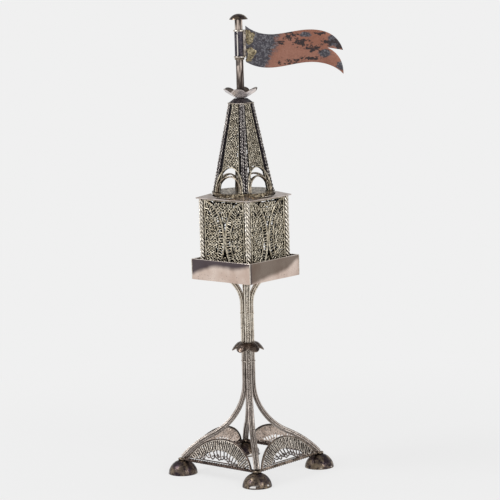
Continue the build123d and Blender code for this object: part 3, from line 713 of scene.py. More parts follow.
def raise_flower(name, bore, reach, first, petal_round, height, thickness, finishes):
    """Raise a ring sheet into petals; height gives a point's level from its place on its petal.

    The finishes are those of the upper side, the lower side and the cut edge.
    """
    radii = [bore + (reach - bore) * i / PETAL_RINGS for i in range(PETAL_RINGS + 1)]
    flower = ring_sheet(name, radii, 96)
    for vertex in flower.data.vertices:
        turn = math.atan2(vertex.co.y, vertex.co.x)
        share = min(max((vertex.co.xy.length / MM - bore) / (reach - bore), 0.0), 1.0)
        edge, nearness = petal_reach(turn, reach, first, petal_round)
        out = bore + (edge - bore) * share
        out, level = height(out, share, nearness)
        vertex.co = Vector((math.cos(turn) * out, math.sin(turn) * out, level)) * MM
    for finish in finishes:
        flower.data.materials.append(finish)
    face_outward(flower)
    if sum(face.normal.z for face in flower.data.polygons) < 0:
        flower.data.flip_normals()
    sides = {"material_offset": 1, "material_offset_rim": 2}
    finish_with(flower, "SOLIDIFY", thickness=thickness * MM, offset=0.0, **sides)
    finish_with(flower, "SUBSURF", levels=1, render_levels=1)
    face_outward(flower)
    bpy.ops.object.shade_smooth_by_angle(angle=math.radians(60))
    return flower


def knop_height(out, share, nearness):
    """Droop of the knop's petals: a dome that steepens to the tips, with a fold between petals."""
    way = max((out - KNOP_BORE) / (KNOP_REACH - KNOP_BORE), 0.0)
    level = KNOP_TOP - 0.3 - (KNOP_TOP - KNOP_TIP - 0.5) * way**KNOP_DROOP
    return out, level - KNOP_FOLD * share * (1 - nearness) ** 1.5


knop_silver = patinated("knop_silver", KNOP_TONES, 300.0, 0.36, (0.26, 0.44), 0.4)
knop_rim = patinated("knop_rim", KNOP_RIM_TONES, 300.0, 0.26, (0.26, 0.44), 0.2)
knop = raise_flower(
    "knop_petals", KNOP_BORE, KNOP_REACH, KNOP_TURN, KNOP_ROUND, knop_height, PETAL_SHEET,
    (knop_silver, knop_silver, knop_rim),
)
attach(knop, "tower")
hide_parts("stem_knop")


# Tray: plain silver sheet around the foot of the box, four walls soldered at the corners to a flat floor.
# Hand-planished, so the walls are a little wavy; the sheet is polished, and each wall is painted pale below
# an uneven line and dark above it, a painted reflection of the pale floor and the darker room.
TRAY_HALF = 19.45
TRAY_WALL = 0.8
TRAY_LOW = 101.0
TRAY_HIGH = 111.6
SEAM_RADIUS = 0.26
TRAY_SHEETS = {
    # wall: low colour, high colour, and the height of the painted reflection line between them along the wall
    1: ((0.790, 0.660, 0.580, 1), (0.105, 0.084, 0.092, 1),
        ((0.0, 2.2), (0.12, 4.6), (0.26, 6.6), (0.45, 7.8), (0.62, 7.4), (0.80, 7.0), (1.0, 6.6))),
    2: ((0.740, 0.610, 0.535, 1), (0.235, 0.188, 0.156, 1),
        ((0.0, 0.2), (0.15, 0.9), (0.35, 2.2), (0.60, 3.6), (0.80, 4.4), (1.0, 4.8))),
    3: ((0.620, 0.500, 0.440, 1), (0.160, 0.130, 0.125, 1), ((0.0, 3.0), (0.4, 6.8), (0.7, 6.2), (1.0, 4.0))),
    4: ((0.600, 0.485, 0.425, 1), (0.185, 0.148, 0.130, 1), ((0.0, 4.5), (0.5, 3.0), (1.0, 1.2))),
}
REFLECTION_FULL = 10.0
REFLECTION_SHAKE = 0.5
TRAY_SOFT = (1.5, 1.3)
TRAY_EDGE_HIGHLIGHT = (0.760, 0.680, 0.620, 1)
TRAY_MOTTLE = (0.78, 0.72, 0.69, 1)
TRAY_SPECK = (0.10, 0.08, 0.075, 1)
TRAY_STRIPE = (0.075, 0.060, 0.066, 1)
TRAY_WAVE = 0.10
TRAY_BEVEL = 0.13
SEAM_INSET = 0.12
SEAM_SHAKE = 0.05
SEAM_ENDS = (101.3, 111.4)
SEAM_TONES = ((0.78, 0.72, 0.65, 1), (0.55, 0.48, 0.40, 1), (0.10, 0.08, 0.065, 1))


def shaken(place, reach):
    """A place across a plane, moved a little at random."""
    return place[0] + random.uniform(-reach, reach), place[1] + random.uniform(-reach, reach)


def spread_evenly(tree, value, low, high, other_way):
    """Stretch a value between two limits in a straight line, from either end."""
    ends = (1.0, 0.0) if other_way else (0.0, 1.0)
    return add_node(tree, "MapRange", {0: value, 1: low, 2: high, 3: ends[0], 4: ends[1]}).outputs[0]


for number, (warm, cool, reflection_line) in TRAY_SHEETS.items():
    bpy.ops.object.select_all(action="DESELECT")
    middle = (0, -(TRAY_HALF - TRAY_WALL / 2) * MM, (TRAY_LOW + TRAY_HIGH) / 2 * MM)
    bpy.ops.mesh.primitive_cube_add(size=1, location=middle)
    wall = take(f"tray_sheet_{number}")
    wall.scale = (2 * TRAY_HALF * MM, TRAY_WALL * MM, (TRAY_HIGH - TRAY_LOW) * MM)
    settle(wall)
    for vertex in wall.data.vertices:
        if vertex.co.y > middle[1]:
            vertex.co.x -= math.copysign(TRAY_WALL * MM, vertex.co.x)
    ease_edges(wall, TRAY_BEVEL, 35)
    bpy.ops.object.mode_set(mode="EDIT")
    bpy.ops.mesh.select_all(action="SELECT")
    bpy.ops.mesh.subdivide(number_cuts=5)
    bpy.ops.object.mode_set(mode="OBJECT")
    for vertex in wall.data.vertices:
        along, up = vertex.co.x / MM / TRAY_HALF, (vertex.co.z / MM - TRAY_LOW) / (TRAY_HIGH - TRAY_LOW)
        wave = math.sin(3.1 * along + number) * math.sin(2.6 * up + 0.7 * number) * (1 - along**4)
        vertex.co.y += TRAY_WAVE * wave * MM
    bpy.ops.object.shade_smooth_by_angle(angle=math.radians(30))
    wall.matrix_world = Matrix.Rotation(math.radians(90 * (number - 1)), 4, "Z")
    settle(wall)
    sheet, tree, shader = silver_metal(f"tray_silver_{number}")
    where, axes = surface_place(tree)
    cloud = noise(tree, where, 75.0, 3.0)
    speck = noise(tree, where, 1300.0, 2.0)
    run = axes["X" if number in (1, 3) else "Y"]
    run = spread_evenly(tree, run, -TRAY_HALF * MM, TRAY_HALF * MM, number in (3, 4))
    line = add_node(tree, "ValToRGB", {0: run})
    line.color_ramp.interpolation = "B_SPLINE"
    stops = line.color_ramp.elements
    for spot, height in reflection_line:
        stop = stops.new(spot)
        stop.color = (*[height / REFLECTION_FULL] * 3, 1)
    for extra in (stops[-1], stops[0]):
        stops.remove(extra)
    # Painted reflection: pale below an uneven line on each wall, dark above it, in tones of its own for each
    # wall.
    level = reckon(tree, "SUBTRACT", axes["Z"], TRAY_LOW * MM)
    over = reckon(tree, "SUBTRACT", level, reckon(tree, "MULTIPLY", line.outputs[0], REFLECTION_FULL * MM))
    over = reckon(tree, "ADD", over, spread(tree, cloud, 0.3, 0.7, -REFLECTION_SHAKE * MM, REFLECTION_SHAKE * MM))
    colour = blend_colours(tree, spread(tree, over, -TRAY_SOFT[0] * MM, TRAY_SOFT[1] * MM), warm, cool)
    mottle = blend_colours(tree, spread(tree, cloud, 0.35, 0.7), colour, TRAY_MOTTLE, "MULTIPLY")
    low = spread(tree, level, 1.0 * MM, 5.5 * MM, 0.7, 0.15)
    spotted = reckon(tree, "MULTIPLY", spread(tree, speck, 0.62, 0.74), low)
    colour = blend_colours(tree, spotted, mottle, TRAY_SPECK)
    if number == 2:
        stripe = spread(tree, run, 0.012, 0.055, 0.85, 0.0)
        colour = blend_colours(tree, stripe, colour, TRAY_STRIPE)
    brim = TRAY_HIGH - TRAY_LOW
    # Painted highlight: a pale line along the top edge of each wall.
    edge_highlight = spread(tree, level, (brim - 0.3) * MM, (brim - 0.1) * MM, 0.0, 0.8)
    colour = blend_colours(tree, edge_highlight, colour, TRAY_EDGE_HIGHLIGHT)
    feed(tree, shader, colour, spread(tree, cloud, 0.3, 0.7, 0.24, 0.36), speck, 0.08, 0.1)
    dress(wall, sheet, "tower", "sheet_silver", f"tray_wall_{number}")
    if number == 4:
        refinish(sheet, "tray_floor")

corner = TRAY_HALF - SEAM_INSET
seams = []
for east, north in ((1, -1), (1, 1), (-1, 1), (-1, -1)):
    place = (east * corner, north * corner)
    line = stretch((*place, SEAM_ENDS[0]), (*place, SEAM_ENDS[1]), 14)
    random.seed(5 + east + 3 * north)
    seams.append([(*shaken(point, SEAM_SHAKE), point.z) for point in line])
seam = bend_wires("tray_seams", seams, SEAM_RADIUS, sides=2)
dress(seam, patinated("seam_silver", SEAM_TONES, 500.0, 0.24, (0.26, 0.4), 0.5), "tower", "sheet_silver")


# Posts: thick ropes of four silver wires at the corners of the box, laid left-handed, soldered to the floor.
# They are the brightest pieces, rubbed clean on the crowns of the strands, with painted shade laid black
# between them.
POST_OFFSET = 15.2
POST_LOW = 101.8
POST_HIGH = 142.0
POST_STRANDS = 4
POST_STRAND = 0.62
POST_CENTRES = 0.86
POST_PITCH = 8.6
GROOVE_SHADED = 1.10
GROOVE_UNSHADED = 1.26
ROPE_TONES = ((0.820, 0.760, 0.670, 1), (0.560, 0.500, 0.410, 1), (0.020, 0.016, 0.014, 1))

rope_silver, tree, shader = silver_metal("rope_silver")
axes = surface_place(tree)[1]
off_post = []
for axis in ("X", "Y"):
    away = reckon(tree, "ABSOLUTE", axes[axis], 0.0)
    away = reckon(tree, "SUBTRACT", away, POST_OFFSET * MM)
    off_post.append(reckon(tree, "MULTIPLY", away, away))
depth = reckon(tree, "SQRT", reckon(tree, "ADD", *off_post), 0.0)
# Painted shade: the strands go black toward the post's middle line, in the grooves between them.
groove_shade = spread(tree, depth, GROOVE_SHADED * MM, GROOVE_UNSHADED * MM, 1.0, 0.0)
lay_patina(tree, shader, *ROPE_TONES, 300.0, 0.28, (0.28, 0.42), 0.2, painted_shade=groove_shade)
for number, (east, north) in {1: (1, -1), 2: (1, 1), 3: (-1, 1), 4: (-1, -1)}.items():
    place = (east * POST_OFFSET, north * POST_OFFSET)
    line = stretch((*place, POST_LOW), (*place, POST_HIGH), 90)
    strands = twist(line, (1, 0, 0), POST_CENTRES, POST_STRANDS, POST_PITCH, -1, start=number)
    post = bend_wires(f"rope_post_{number}", strands, POST_STRAND, sides=2)
    heart = bend_wires("heart", [line[::8]], POST_STRAND, sides=1)
    post = solder_together(f"rope_post_{number}", [post, heart])
    dress(post, rope_silver, "tower", "filigree_silver", f"box_post_{number}")


# Box panels: two half ovals of double wire stand back to back in a plain wire frame. Combs of small loops
# line the ovals, and curls of flat wire set on edge fill them and the corners above and below.
# All are silver, soldered where they touch.
PANEL_PLACE = (0.0, -15.2, 121.9)
PANEL_FRAME = 12.85
UPRIGHT_END = 19.8
CROSSBAR_END = 13.7
CROSSBAR_LEVEL = 19.77
OVAL_WIDE = 12.83
OVAL_TALL = 19.65
OVAL_RIMS = ((0.30, 0.30), (0.27, 0.86))
RIM_GAUGE = 0.32
OVAL_DEPTH = 2.3
INNER_OVAL = 4.0
LOOP_PITCH = 2.8
LOOP_LENGTH = 2.8
LOOP_WIDTH = 1.4
PANEL_WIRE = 0.27
PANEL_DEPTH = 3.0
CURL_FIELDS = (
    # step across, step up, half width, half height, distance in from the ovals, or out if below zero
    (2.1, 1.932, 0.92, 0.92, 4.75),
    (1.95, 2.5, 0.84, 1.15, -0.45),
)
CURL_SHAKE = 0.15
CURL_CLEAR = 0.2
CURL_REACH = 18.9
LOOP_INSET = 1.05
LOOP_TILT = 0.18
LOOP_CLEAR = 0.3
PANEL_BLACK = 0.25
PANEL_BRIGHT = 0.52
PANEL_TONES = ((0.930, 0.845, 0.680, 1), (0.600, 0.520, 0.385, 1), (0.018, 0.015, 0.012, 1))

random.seed(23)


def curl(middle, half, tall, start, hand):
    """Wire bent round into an open ring that closes in a little."""
    line = []
    for i in range(9):
        turn = start + hand * math.radians(41 * i)
        line.append(Vector(middle) + Vector((half * math.cos(turn), tall * math.sin(turn))) * (1 - 0.02 * i))
    return line


def half_ovals(inset, count):
    """Points of the two half ovals, drawn in by an inset, that stand on the uprights back to back."""
    turns = [math.pi * (i / count - 0.5) for i in range(count + 1)]
    wide, tall = OVAL_WIDE - inset, OVAL_TALL - inset
    return [
        [(hand * (PANEL_FRAME - wide * math.cos(turn)), tall * math.sin(turn)) for turn in turns]
        for hand in (-1, 1)
    ]


frame_wires = []
for side in (-1, 1):
    frame_wires.append([(side * PANEL_FRAME, -UPRIGHT_END), (side * PANEL_FRAME, UPRIGHT_END)])
for side in (1, -1):
    frame_wires.append([(-CROSSBAR_END, side * CROSSBAR_LEVEL), (CROSSBAR_END, side * CROSSBAR_LEVEL)])
loops = []
for hand, line in zip((-1, 1), half_ovals(LOOP_INSET, 400)):
    run = LOOP_PITCH / 2
    for one, two in zip(line, line[1:]):
        one, two = Vector(one), Vector(two)
        run += (two - one).length
        if run < LOOP_PITCH:
            continue
        run = 0.0
        inward = Vector((-(two - one).y, (two - one).x)) * -hand
        inward.rotate(Matrix.Rotation(random.uniform(-LOOP_TILT, LOOP_TILT), 2))
        length = LOOP_LENGTH * random.uniform(0.85, 1.08)
        width = LOOP_WIDTH * random.uniform(0.85, 1.1)
        if abs(two.x + inward.normalized().x * length) < PANEL_FRAME - LOOP_CLEAR:
            loops.append(hairpin(two, inward, length, width))


def oval_depth(x, y, inset):
    """Below one inside the half ovals drawn in by an inset, above one outside them."""
    return ((PANEL_FRAME - abs(x)) / (OVAL_WIDE - inset)) ** 2 + (y / (OVAL_TALL - inset)) ** 2


curls = []
for across, up, half, high, inset in CURL_FIELDS:
    rows, columns = int(CURL_REACH / up), int(PANEL_FRAME / across) + 1
    for row in range(-rows, rows + 1):
        for column in range(-columns, columns + 1):
            x, y = (column + (row % 2) / 2) * across, row * up
            depth = oval_depth(x, y, inset)
            if abs(x) < PANEL_FRAME - half - CURL_CLEAR and (depth < 1 if inset > 0 else depth > 1):
                spot = shaken((x, y), CURL_SHAKE)
                curls.append(curl(spot, half, high, random.uniform(0, 6.28), random.choice((-1, 1))))
panel_plane = sloped_plane(PANEL_PLACE, 0.0)
rims = [bend_wires("frame_wires", frame_wires, RIM_GAUGE, sides=1)]
rims += [bend_wires("oval_rims", half_ovals(inset, 40), radius, sides=1) for radius, inset in OVAL_RIMS]
ornament = bend_wires("ornament", half_ovals(INNER_OVAL, 34) + loops + curls, PANEL_WIRE, tilt=FLAT_TURN)
panel = solder_together("box_filigree_1", [
    *[lay_flat(rim, panel_plane, OVAL_DEPTH) for rim in rims], lay_flat(ornament, panel_plane, PANEL_DEPTH),
])
# Painted shade darkens the inward side of the panels' wires.
box_filigree = patinated(
    "box_filigree", PANEL_TONES, 420.0, 0.34, (0.28, 0.45), 0.4,
    painted_shade=lambda tree: shaded_inside(tree, -PANEL_PLACE[1], 0.0, 0.0, PANEL_BLACK, PANEL_BRIGHT),
)
set_round(panel, "box_filigree", [box_filigree] * 4, "tower", "box_panel")


# Roof: a flat silver plate with a collar closes the box, and a hipped sheet with a round hole is soldered
# over its edges. The sheet is thin, pale and softly stained.
ROOF_HALF = 17.3
ROOF_HOLE = 16.3
ROOF_SLOPE = 18.3
ROOF_EAVES = 142.17
ROOF_SHEET = 0.6
ROOF_EDGE = 0.1
ROOF_LIFT = 0.32
ROOF_RINGS = (ROOF_HOLE, 17.0, 18.0, 19.0, 20.0)
ROOF_TONES = ((0.660, 0.585, 0.545, 1), (0.480, 0.405, 0.360, 1), (0.115, 0.090, 0.075, 1))

roof = ring_sheet("roof_sheet", ROOF_RINGS, 128)
rise = math.tan(math.radians(ROOF_SLOPE))
for vertex in roof.data.vertices:
    turn = math.atan2(vertex.co.y, vertex.co.x)
    share = (vertex.co.xy.length / MM - ROOF_HOLE) / (ROOF_RINGS[-1] - ROOF_HOLE)
    edge = ROOF_HALF / max(abs(math.cos(turn)), abs(math.sin(turn)))
    out = ROOF_HOLE + (edge - ROOF_HOLE) * share
    east, north = math.cos(turn) * out, math.sin(turn) * out
    level = ROOF_EAVES + ROOF_LIFT + (ROOF_HALF - max(abs(east), abs(north))) * rise
    vertex.co = Vector((east, north, level)) * MM
finish_with(roof, "SOLIDIFY", thickness=ROOF_SHEET * MM, offset=0.0)
face_outward(roof)
ease_edges(roof, ROOF_EDGE, 50)
bpy.ops.object.shade_smooth_by_angle(angle=math.radians(12))
roof_silver = patinated("roof_silver", ROOF_TONES, 170.0, 0.20, (0.26, 0.42), 0.15)
dress(roof, roof_silver, "tower", "sheet_silver", "roof_hip")
refinish(roof_silver, "top_plate", "lid_collar")


# Lid: a round cap of silver sheet pressed over the collar, with a twisted wire soldered around its skirt and
# another on its edge. It sits low inside the roof and has gone yellow and brown.
LID_TWISTS = ((15.62, 143.25, 0.17), (15.72, 144.75, 0.15))
LID_PITCH = 1.5
LID_TONES = ((0.660, 0.550, 0.385, 1), (0.160, 0.115, 0.070, 1), (0.030, 0.022, 0.017, 1))

refinish(patinated("lid_silver", LID_TONES, 260.0, 0.42, (0.28, 0.5), 0.4), "lid_cap")
lid_wires = []
turns = [math.radians(i) for i in range(361)]
for radius, height, strand in LID_TWISTS:
    line = [(radius * math.cos(turn), radius * math.sin(turn), height) for turn in turns]
    lid_wires.append(bend_wires("lid_twist", twist(line, (0, 0, 1), strand, 2, LID_PITCH), strand))
lid_twist = solder_together("lid_twists", lid_wires)
dress(lid_twist, filigree_silver, "spire_lid", "filigree_silver", "lid_wire")


# Spire strips: tapered silver bars at the corners with two ropes soldered on each outer face, whose strands
# make slanting strokes. They stand on the lid and lean in to the cap. The crowns are pale; painted shade lays
# the grooves and the inner side black.
SPIRE_LOW = 145.4
SPIRE_HIGH = 189.9
SPIRE_FOOT = 15.2
SPIRE_HEAD = 6.2
STRIP_SHRINK = 0.63
RIDGE_RISE = 0.35
ROPE_PLACES = (0.42, 1.27)
ROPE_STRAND = 0.3
ROPE_PITCH = 3.5
BAR_REACH = 1.5
BAR_PLACE = 1.8
BRAID_CROWN = 11.6
BRAID_LEAN = 8.56
BRAID_SHADE_BLACK = -0.38
BRAID_SHADE_NONE = -0.14
BRAID_TONES = ((0.780, 0.720, 0.670, 1), (0.440, 0.400, 0.385, 1), (0.030, 0.025, 0.030, 1))


def narrow(share):
    """Gauge of a strip's wires on the way up."""
    return 1 - (1 - STRIP_SHRINK) * share


def strip_line(back, aside, count):
    """Points up a corner, so far back from its ridge and to one side, closing in as the bar tapers."""
    middle = stretch((SPIRE_FOOT, 0, SPIRE_LOW + 0.05), (SPIRE_HEAD, 0, SPIRE_HIGH - 0.05), count)
    line = []
    for i, point in enumerate(middle):
        line.append(point + Vector((RIDGE_RISE - back, aside, 0)) * narrow(i / count))
    return line


ropes = []
for side in (-1, 1):
    for place in ROPE_PLACES:
        line = strip_line(place, side * place, 230)
        ropes += twist(line, (0, 1, 0), lambda share: ROPE_STRAND * narrow(share), 2, ROPE_PITCH, -1)
strip = solder_together("spire_braid_1", [
    bend_wires("ropes", ropes, ROPE_STRAND, taper=narrow),
    bend_wires("bar", [strip_line(BAR_PLACE, 0, 10)], BAR_REACH, taper=narrow),
])
strip.matrix_world = Matrix.Rotation(math.radians(-45), 4, "Z")
settle(strip)
# Painted shade: the strips go black below the crowns of the ropes, in the grooves and on the inner side.
braid_silver = patinated(
    "braid_silver", BRAID_TONES, 300.0, 0.34, (0.26, 0.44), 0.3,
    painted_shade=lambda tree: shaded_inside(tree, BRAID_CROWN, BRAID_LEAN, SPIRE_LOW, BRAID_SHADE_BLACK, BRAID_SHADE_NONE),
)
set_round(strip, "spire_braid", [braid_silver] * 4, "spire_lid", "spire_strip")


# Spire panels: small open curls of flat wire packed close in a frame of plain wire, with an arched band of
# ribbon at the foot. They are set back between the strips, which leaves a dark gap beside each.
FACE_DISTANCE = 11.585
FACE_LEAN = 8.717
FACE_LENGTH = 45.02
FACE_LOW = 9.511
FACE_HIGH = 3.606
FACE_ARCH = (8.511, 12.5)
FACE_SET = 0.8
SPIRE_CURL = 1.8
SPIRE_CURL_HALF = 0.78
SPIRE_WIRE = 0.23
SPIRE_DEPTH = 3.1
SPIRE_EDGE = 0.27
SPIRE_EDGE_DEPTH = 1.9
EDGE_INSET = (2.9, 1.95)
EDGE_ENDS = (0.1, 44.72)
TOP_EDGE = (3.306, 44.67)
SPIRE_SHAKE = 0.12
CURL_FOOT = 1.0
CURL_SPAN = 43.12
CURL_ROW = 1.62
CURL_MARGIN = 0.45
CURL_ARCH = (9.261, 13.4)
SPIRE_BLACK = 0.22
SPIRE_BRIGHT = 0.48
BAND_SHEET = 0.84
BAND_DEPTH = 2.0
SPIRE_TONES = ((0.840, 0.760, 0.610, 1), (0.480, 0.415, 0.315, 1), (0.018, 0.015, 0.012, 1))

random.seed(37)
face_plane = sloped_plane((0, FACE_SET - FACE_DISTANCE, SPIRE_LOW), FACE_LEAN)


def face_half(up):
    """Half the width of a spire panel at a distance up its slope."""
    return FACE_LOW + (FACE_HIGH - FACE_LOW) * up / FACE_LENGTH


def arch_band(name, half, rise, sheet, depth, count=28):
    """Arch of flat ribbon that stands on the lid, in the panel's plane."""
    turns = [math.pi * i / count for i in range(count + 1)]
    line = [(half * math.cos(turn), max(rise * math.sin(turn), 0.12)) for turn in turns]
    return lay_flat(bend_wires(name, [line], sheet / 2, sides=1), face_plane, depth / sheet)


curls = []
rows = int(CURL_SPAN / CURL_ROW)
for row in range(rows + 1):
    y = CURL_FOOT + CURL_SPAN * row / rows
    half = face_half(y) - EDGE_INSET[0] + (EDGE_INSET[0] - EDGE_INSET[1]) * y / FACE_LENGTH - CURL_MARGIN
    x = -half + (SPIRE_CURL / 2 if row % 2 else 0.1)
    while x < half:
        if (x / CURL_ARCH[0]) ** 2 + (y / CURL_ARCH[1]) ** 2 >= 1:
            spot = shaken((x, y), SPIRE_SHAKE)
            start, hand = random.uniform(0, 6.28), random.choice((-1, 1))
            curls.append(curl(spot, SPIRE_CURL_HALF, SPIRE_CURL_HALF, start, hand))
        x += SPIRE_CURL
low, high = FACE_LOW - EDGE_INSET[0], FACE_HIGH - EDGE_INSET[1]
edges = [[(side * low, EDGE_ENDS[0]), (side * high, EDGE_ENDS[1])] for side in (-1, 1)]
edges.append([(-TOP_EDGE[0], TOP_EDGE[1]), TOP_EDGE])
edges = lay_flat(bend_wires("face_edges", edges, SPIRE_EDGE, sides=1), face_plane, SPIRE_EDGE_DEPTH)
curls = lay_flat(bend_wires("face_curls", curls, SPIRE_WIRE, tilt=FLAT_TURN), face_plane, SPIRE_DEPTH)
band_half, band_rise = [size + BAND_SHEET / 2 for size in FACE_ARCH]
band = arch_band("face_arch", band_half, band_rise, BAND_SHEET, BAND_DEPTH)
face = solder_together("spire_filigree_1", [edges, curls, band])
face_out = FACE_DISTANCE - FACE_SET
# Painted shade darkens the inward side of the spire panels' wires.
spire_filigree = patinated(
    "spire_filigree", SPIRE_TONES, 380.0, 0.34, (0.28, 0.45), 0.4,
    painted_shade=lambda tree: shaded_inside(tree, face_out, FACE_LEAN, SPIRE_LOW, SPIRE_BLACK, SPIRE_BRIGHT),
)
set_round(face, "spire_filigree", [spire_filigree] * 4, "spire_lid", "spire_panel")


# Spire arches: free arches of flat silver ribbon that stand inside the panels' own arches.
# Each is bent in one piece and soldered to the lid at both ends.
FREE_HALF = 7.82
FREE_RISE = 8.15
FREE_SHEET = 0.86
FREE_DEPTH = 2.4
BOW_TONES = ((0.560, 0.480, 0.385, 1), (0.290, 0.232, 0.175, 1), (0.045, 0.035, 0.028, 1))

free = arch_band("spire_bow_1", FREE_HALF, FREE_RISE, FREE_SHEET, FREE_DEPTH)
bow_silver = patinated("bow_silver", BOW_TONES, 330.0, 0.32, (0.3, 0.5), 0.3)
set_round(free, "spire_bow", [bow_silver] * 4, "spire_lid", "spire_arch")


# Spire cap: a low pyramid of silver sheet that closes the spire, with a twisted wire around its foot.
# It is soldered to the heads of the strips and has gone blue-black.
CAP_HALF = 4.838
CAP_TOP_HALF = 2.4
CAP_HIGH = 192.5
CAP_EDGE = 0.22
HEM_HEIGHT = 190.1
HEM_INSET = 0.18
HEM_STRAND = 0.17
HEM_CENTRES = 0.16
HEM_PITCH = 1.5
CAP_TONES = ((0.145, 0.132, 0.138, 1), (0.058, 0.052, 0.060, 1), (0.014, 0.012, 0.014, 1))

bpy.ops.object.select_all(action="DESELECT")
bpy.ops.mesh.primitive_cube_add(size=2, location=(0, 0, (SPIRE_HIGH + CAP_HIGH) / 2 * MM))
cap = take("spire_pyramid")
cap.scale = (CAP_HALF * MM, CAP_HALF * MM, (CAP_HIGH - SPIRE_HIGH) / 2 * MM)
settle(cap)
for vertex in cap.data.vertices:
    if vertex.co.z > (SPIRE_HIGH + CAP_HIGH) / 2 * MM:
        vertex.co.x *= CAP_TOP_HALF / CAP_HALF
        vertex.co.y *= CAP_TOP_HALF / CAP_HALF
finish_with(cap, "BEVEL", width=CAP_EDGE * MM, segments=3)
bpy.ops.object.shade_smooth_by_angle(angle=math.radians(40))
corner = CAP_HALF - HEM_INSET
signs = ((-1, -1), (1, -1), (1, 1), (-1, 1))
corners = [(east * corner, north * corner, HEM_HEIGHT) for east, north in signs]
square = []
for one, two in zip(corners, corners[1:] + corners[:1]):
    square += stretch(one, two, 36)[:-1]
square.append(square[0])
hem = bend_wires("cap_hem", twist(square, (0, 0, 1), HEM_CENTRES, 2, HEM_PITCH), HEM_STRAND)
cap_silver = patinated("cap_silver", CAP_TONES, 260.0, 0.36, (0.22, 0.42), 0.2)
dress(cap, cap_silver, "spire_lid", "sheet_silver", "spire_cap")
dress(hem, filigree_silver, "spire_lid", "filigree_silver")


# Cup: a flower of six petals cut from silver sheet and bent upward, threaded on the foot of the mast.
# Pale outside with a rosy cast, brown in the hollow and along the cut edge.
CUP_LOW = 192.5
CUP_TIP = 197.9
CUP_REACH = 8.9
CUP_BASE = 2.3
CUP_TURN = -58.0
CUP_ROUND = 4.2
CUP_FOLD = 0.9
CUP_BEND = 1.1
CUP_SHEET = 0.5
CUP_TONES = ((0.760, 0.670, 0.630, 1), (0.520, 0.470, 0.470, 1), (0.200, 0.165, 0.155, 1))
HOLLOW_TONES = ((0.260, 0.205, 0.170, 1), (0.095, 0.075, 0.065, 1), (0.030, 0.024, 0.022, 1))


def cup_height(out, share, nearness):
    """Rise of the cup's petals: even from the foot to the tips, folded between petals."""
    way = min(max((out - CUP_BASE) / (CUP_REACH - CUP_BASE), 0.0), 1.0)
    level = CUP_LOW + 0.35 + (CUP_TIP - CUP_LOW - 0.6) * way**CUP_BEND
    return out, level - CUP_FOLD * share * (1 - nearness) ** 1.5


cup_silver = patinated("cup_silver", CUP_TONES, 260.0, 0.18, (0.26, 0.42), 0.2, metallic=0.6)
cup_hollow = patinated("cup_hollow", HOLLOW_TONES, 260.0, 0.32, (0.26, 0.42), 0.2)
cup = raise_flower(
    "mast_flower", CUP_BASE, CUP_REACH, CUP_TURN, CUP_ROUND, cup_height, CUP_SHEET,
    (cup_hollow, cup_silver, cup_hollow),
)
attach(cup, "spire_lid")
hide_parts("mast_cup")


# Mast: a tube rolled from silver sheet, with brown streaks along its length that are painted reflections,
# sooty above the cup, with a stop ring for the pennant and a domed button soldered on its end.
MAST_RADIUS = 1.95
MAST_LOW = 192.5
MAST_HIGH = 232.1
FINIAL_RADIUS = 4.8
FINIAL_RISE = 2.9
MAST_EDGE = 0.1
FINIAL_EDGE = 0.2
MAST_PALE = (0.62, 0.52, 0.45, 1)
MAST_REFLECTION_DARK = (0.052, 0.038, 0.033, 1)
MAST_CLOUD = (0.040, 0.031, 0.029, 1)
MAST_SOOT = (0.040, 0.030, 0.027, 1)
MAST_SOOT_FROM = 207.0
MAST_SOOT_TO = 199.0

bpy.ops.object.select_all(action="DESELECT")
middle = (0, 0, (MAST_LOW + MAST_HIGH) / 2 * MM)
length = (MAST_HIGH - MAST_LOW) * MM
bpy.ops.mesh.primitive_cylinder_add(vertices=40, radius=MAST_RADIUS * MM, depth=length, location=middle)
mast = settle(take("mast_tube"))
ease_edges(mast, MAST_EDGE, 60, 1)
bpy.ops.object.shade_smooth_by_angle(angle=math.radians(40))
mast_silver, tree, shader = silver_metal("mast_silver")
where, axes = surface_place(tree)
drawn = add_node(tree, "Mapping", {"Vector": where, "Scale": (1.0, 1.0, 0.10)}).outputs[0]
# Painted reflections: dark streaks running along the tube.
reflection_streak = noise(tree, drawn, 760.0, 3.0)
cloud = noise(tree, where, 150.0, 3.0)
colour = blend_colours(tree, spread(tree, reflection_streak, 0.42, 0.56), MAST_PALE, MAST_REFLECTION_DARK)
colour = blend_colours(tree, spread(tree, cloud, 0.54, 0.66, 0.0, 0.85), colour, MAST_CLOUD)
sooty = spread(tree, axes["Z"], MAST_SOOT_TO * MM, MAST_SOOT_FROM * MM, 0.75, 0.0)
colour = blend_colours(tree, sooty, colour, MAST_SOOT)
feed(tree, shader, colour, spread(tree, reflection_streak, 0.3, 0.7, 0.24, 0.42), reflection_streak, 0.2, 0.1)
dress(mast, mast_silver, "spire_lid", "sheet_silver", "mast")
refinish(solder_silver, "mast_stop")

finial_ball = (FINIAL_RADIUS**2 + FINIAL_RISE**2) / (2 * FINIAL_RISE)
bpy.ops.object.select_all(action="DESELECT")
centre = (0, 0, (MAST_HIGH + FINIAL_RISE - finial_ball) * MM)
bpy.ops.mesh.primitive_uv_sphere_add(segments=56, ring_count=56, radius=finial_ball * MM, location=centre)
button = settle(take("finial_button"))
bpy.ops.object.mode_set(mode="EDIT")
bpy.ops.mesh.select_all(action="SELECT")
bpy.ops.mesh.bisect(plane_co=(0, 0, MAST_HIGH * MM), plane_no=(0, 0, 1), clear_inner=True, use_fill=True)
bpy.ops.object.mode_set(mode="OBJECT")
ease_edges(button, FINIAL_EDGE, 40, 3)
bpy.ops.object.shade_smooth_by_angle(angle=math.radians(40))
dress(button, dark_silver, "spire_lid", "dark_silver", "finial")


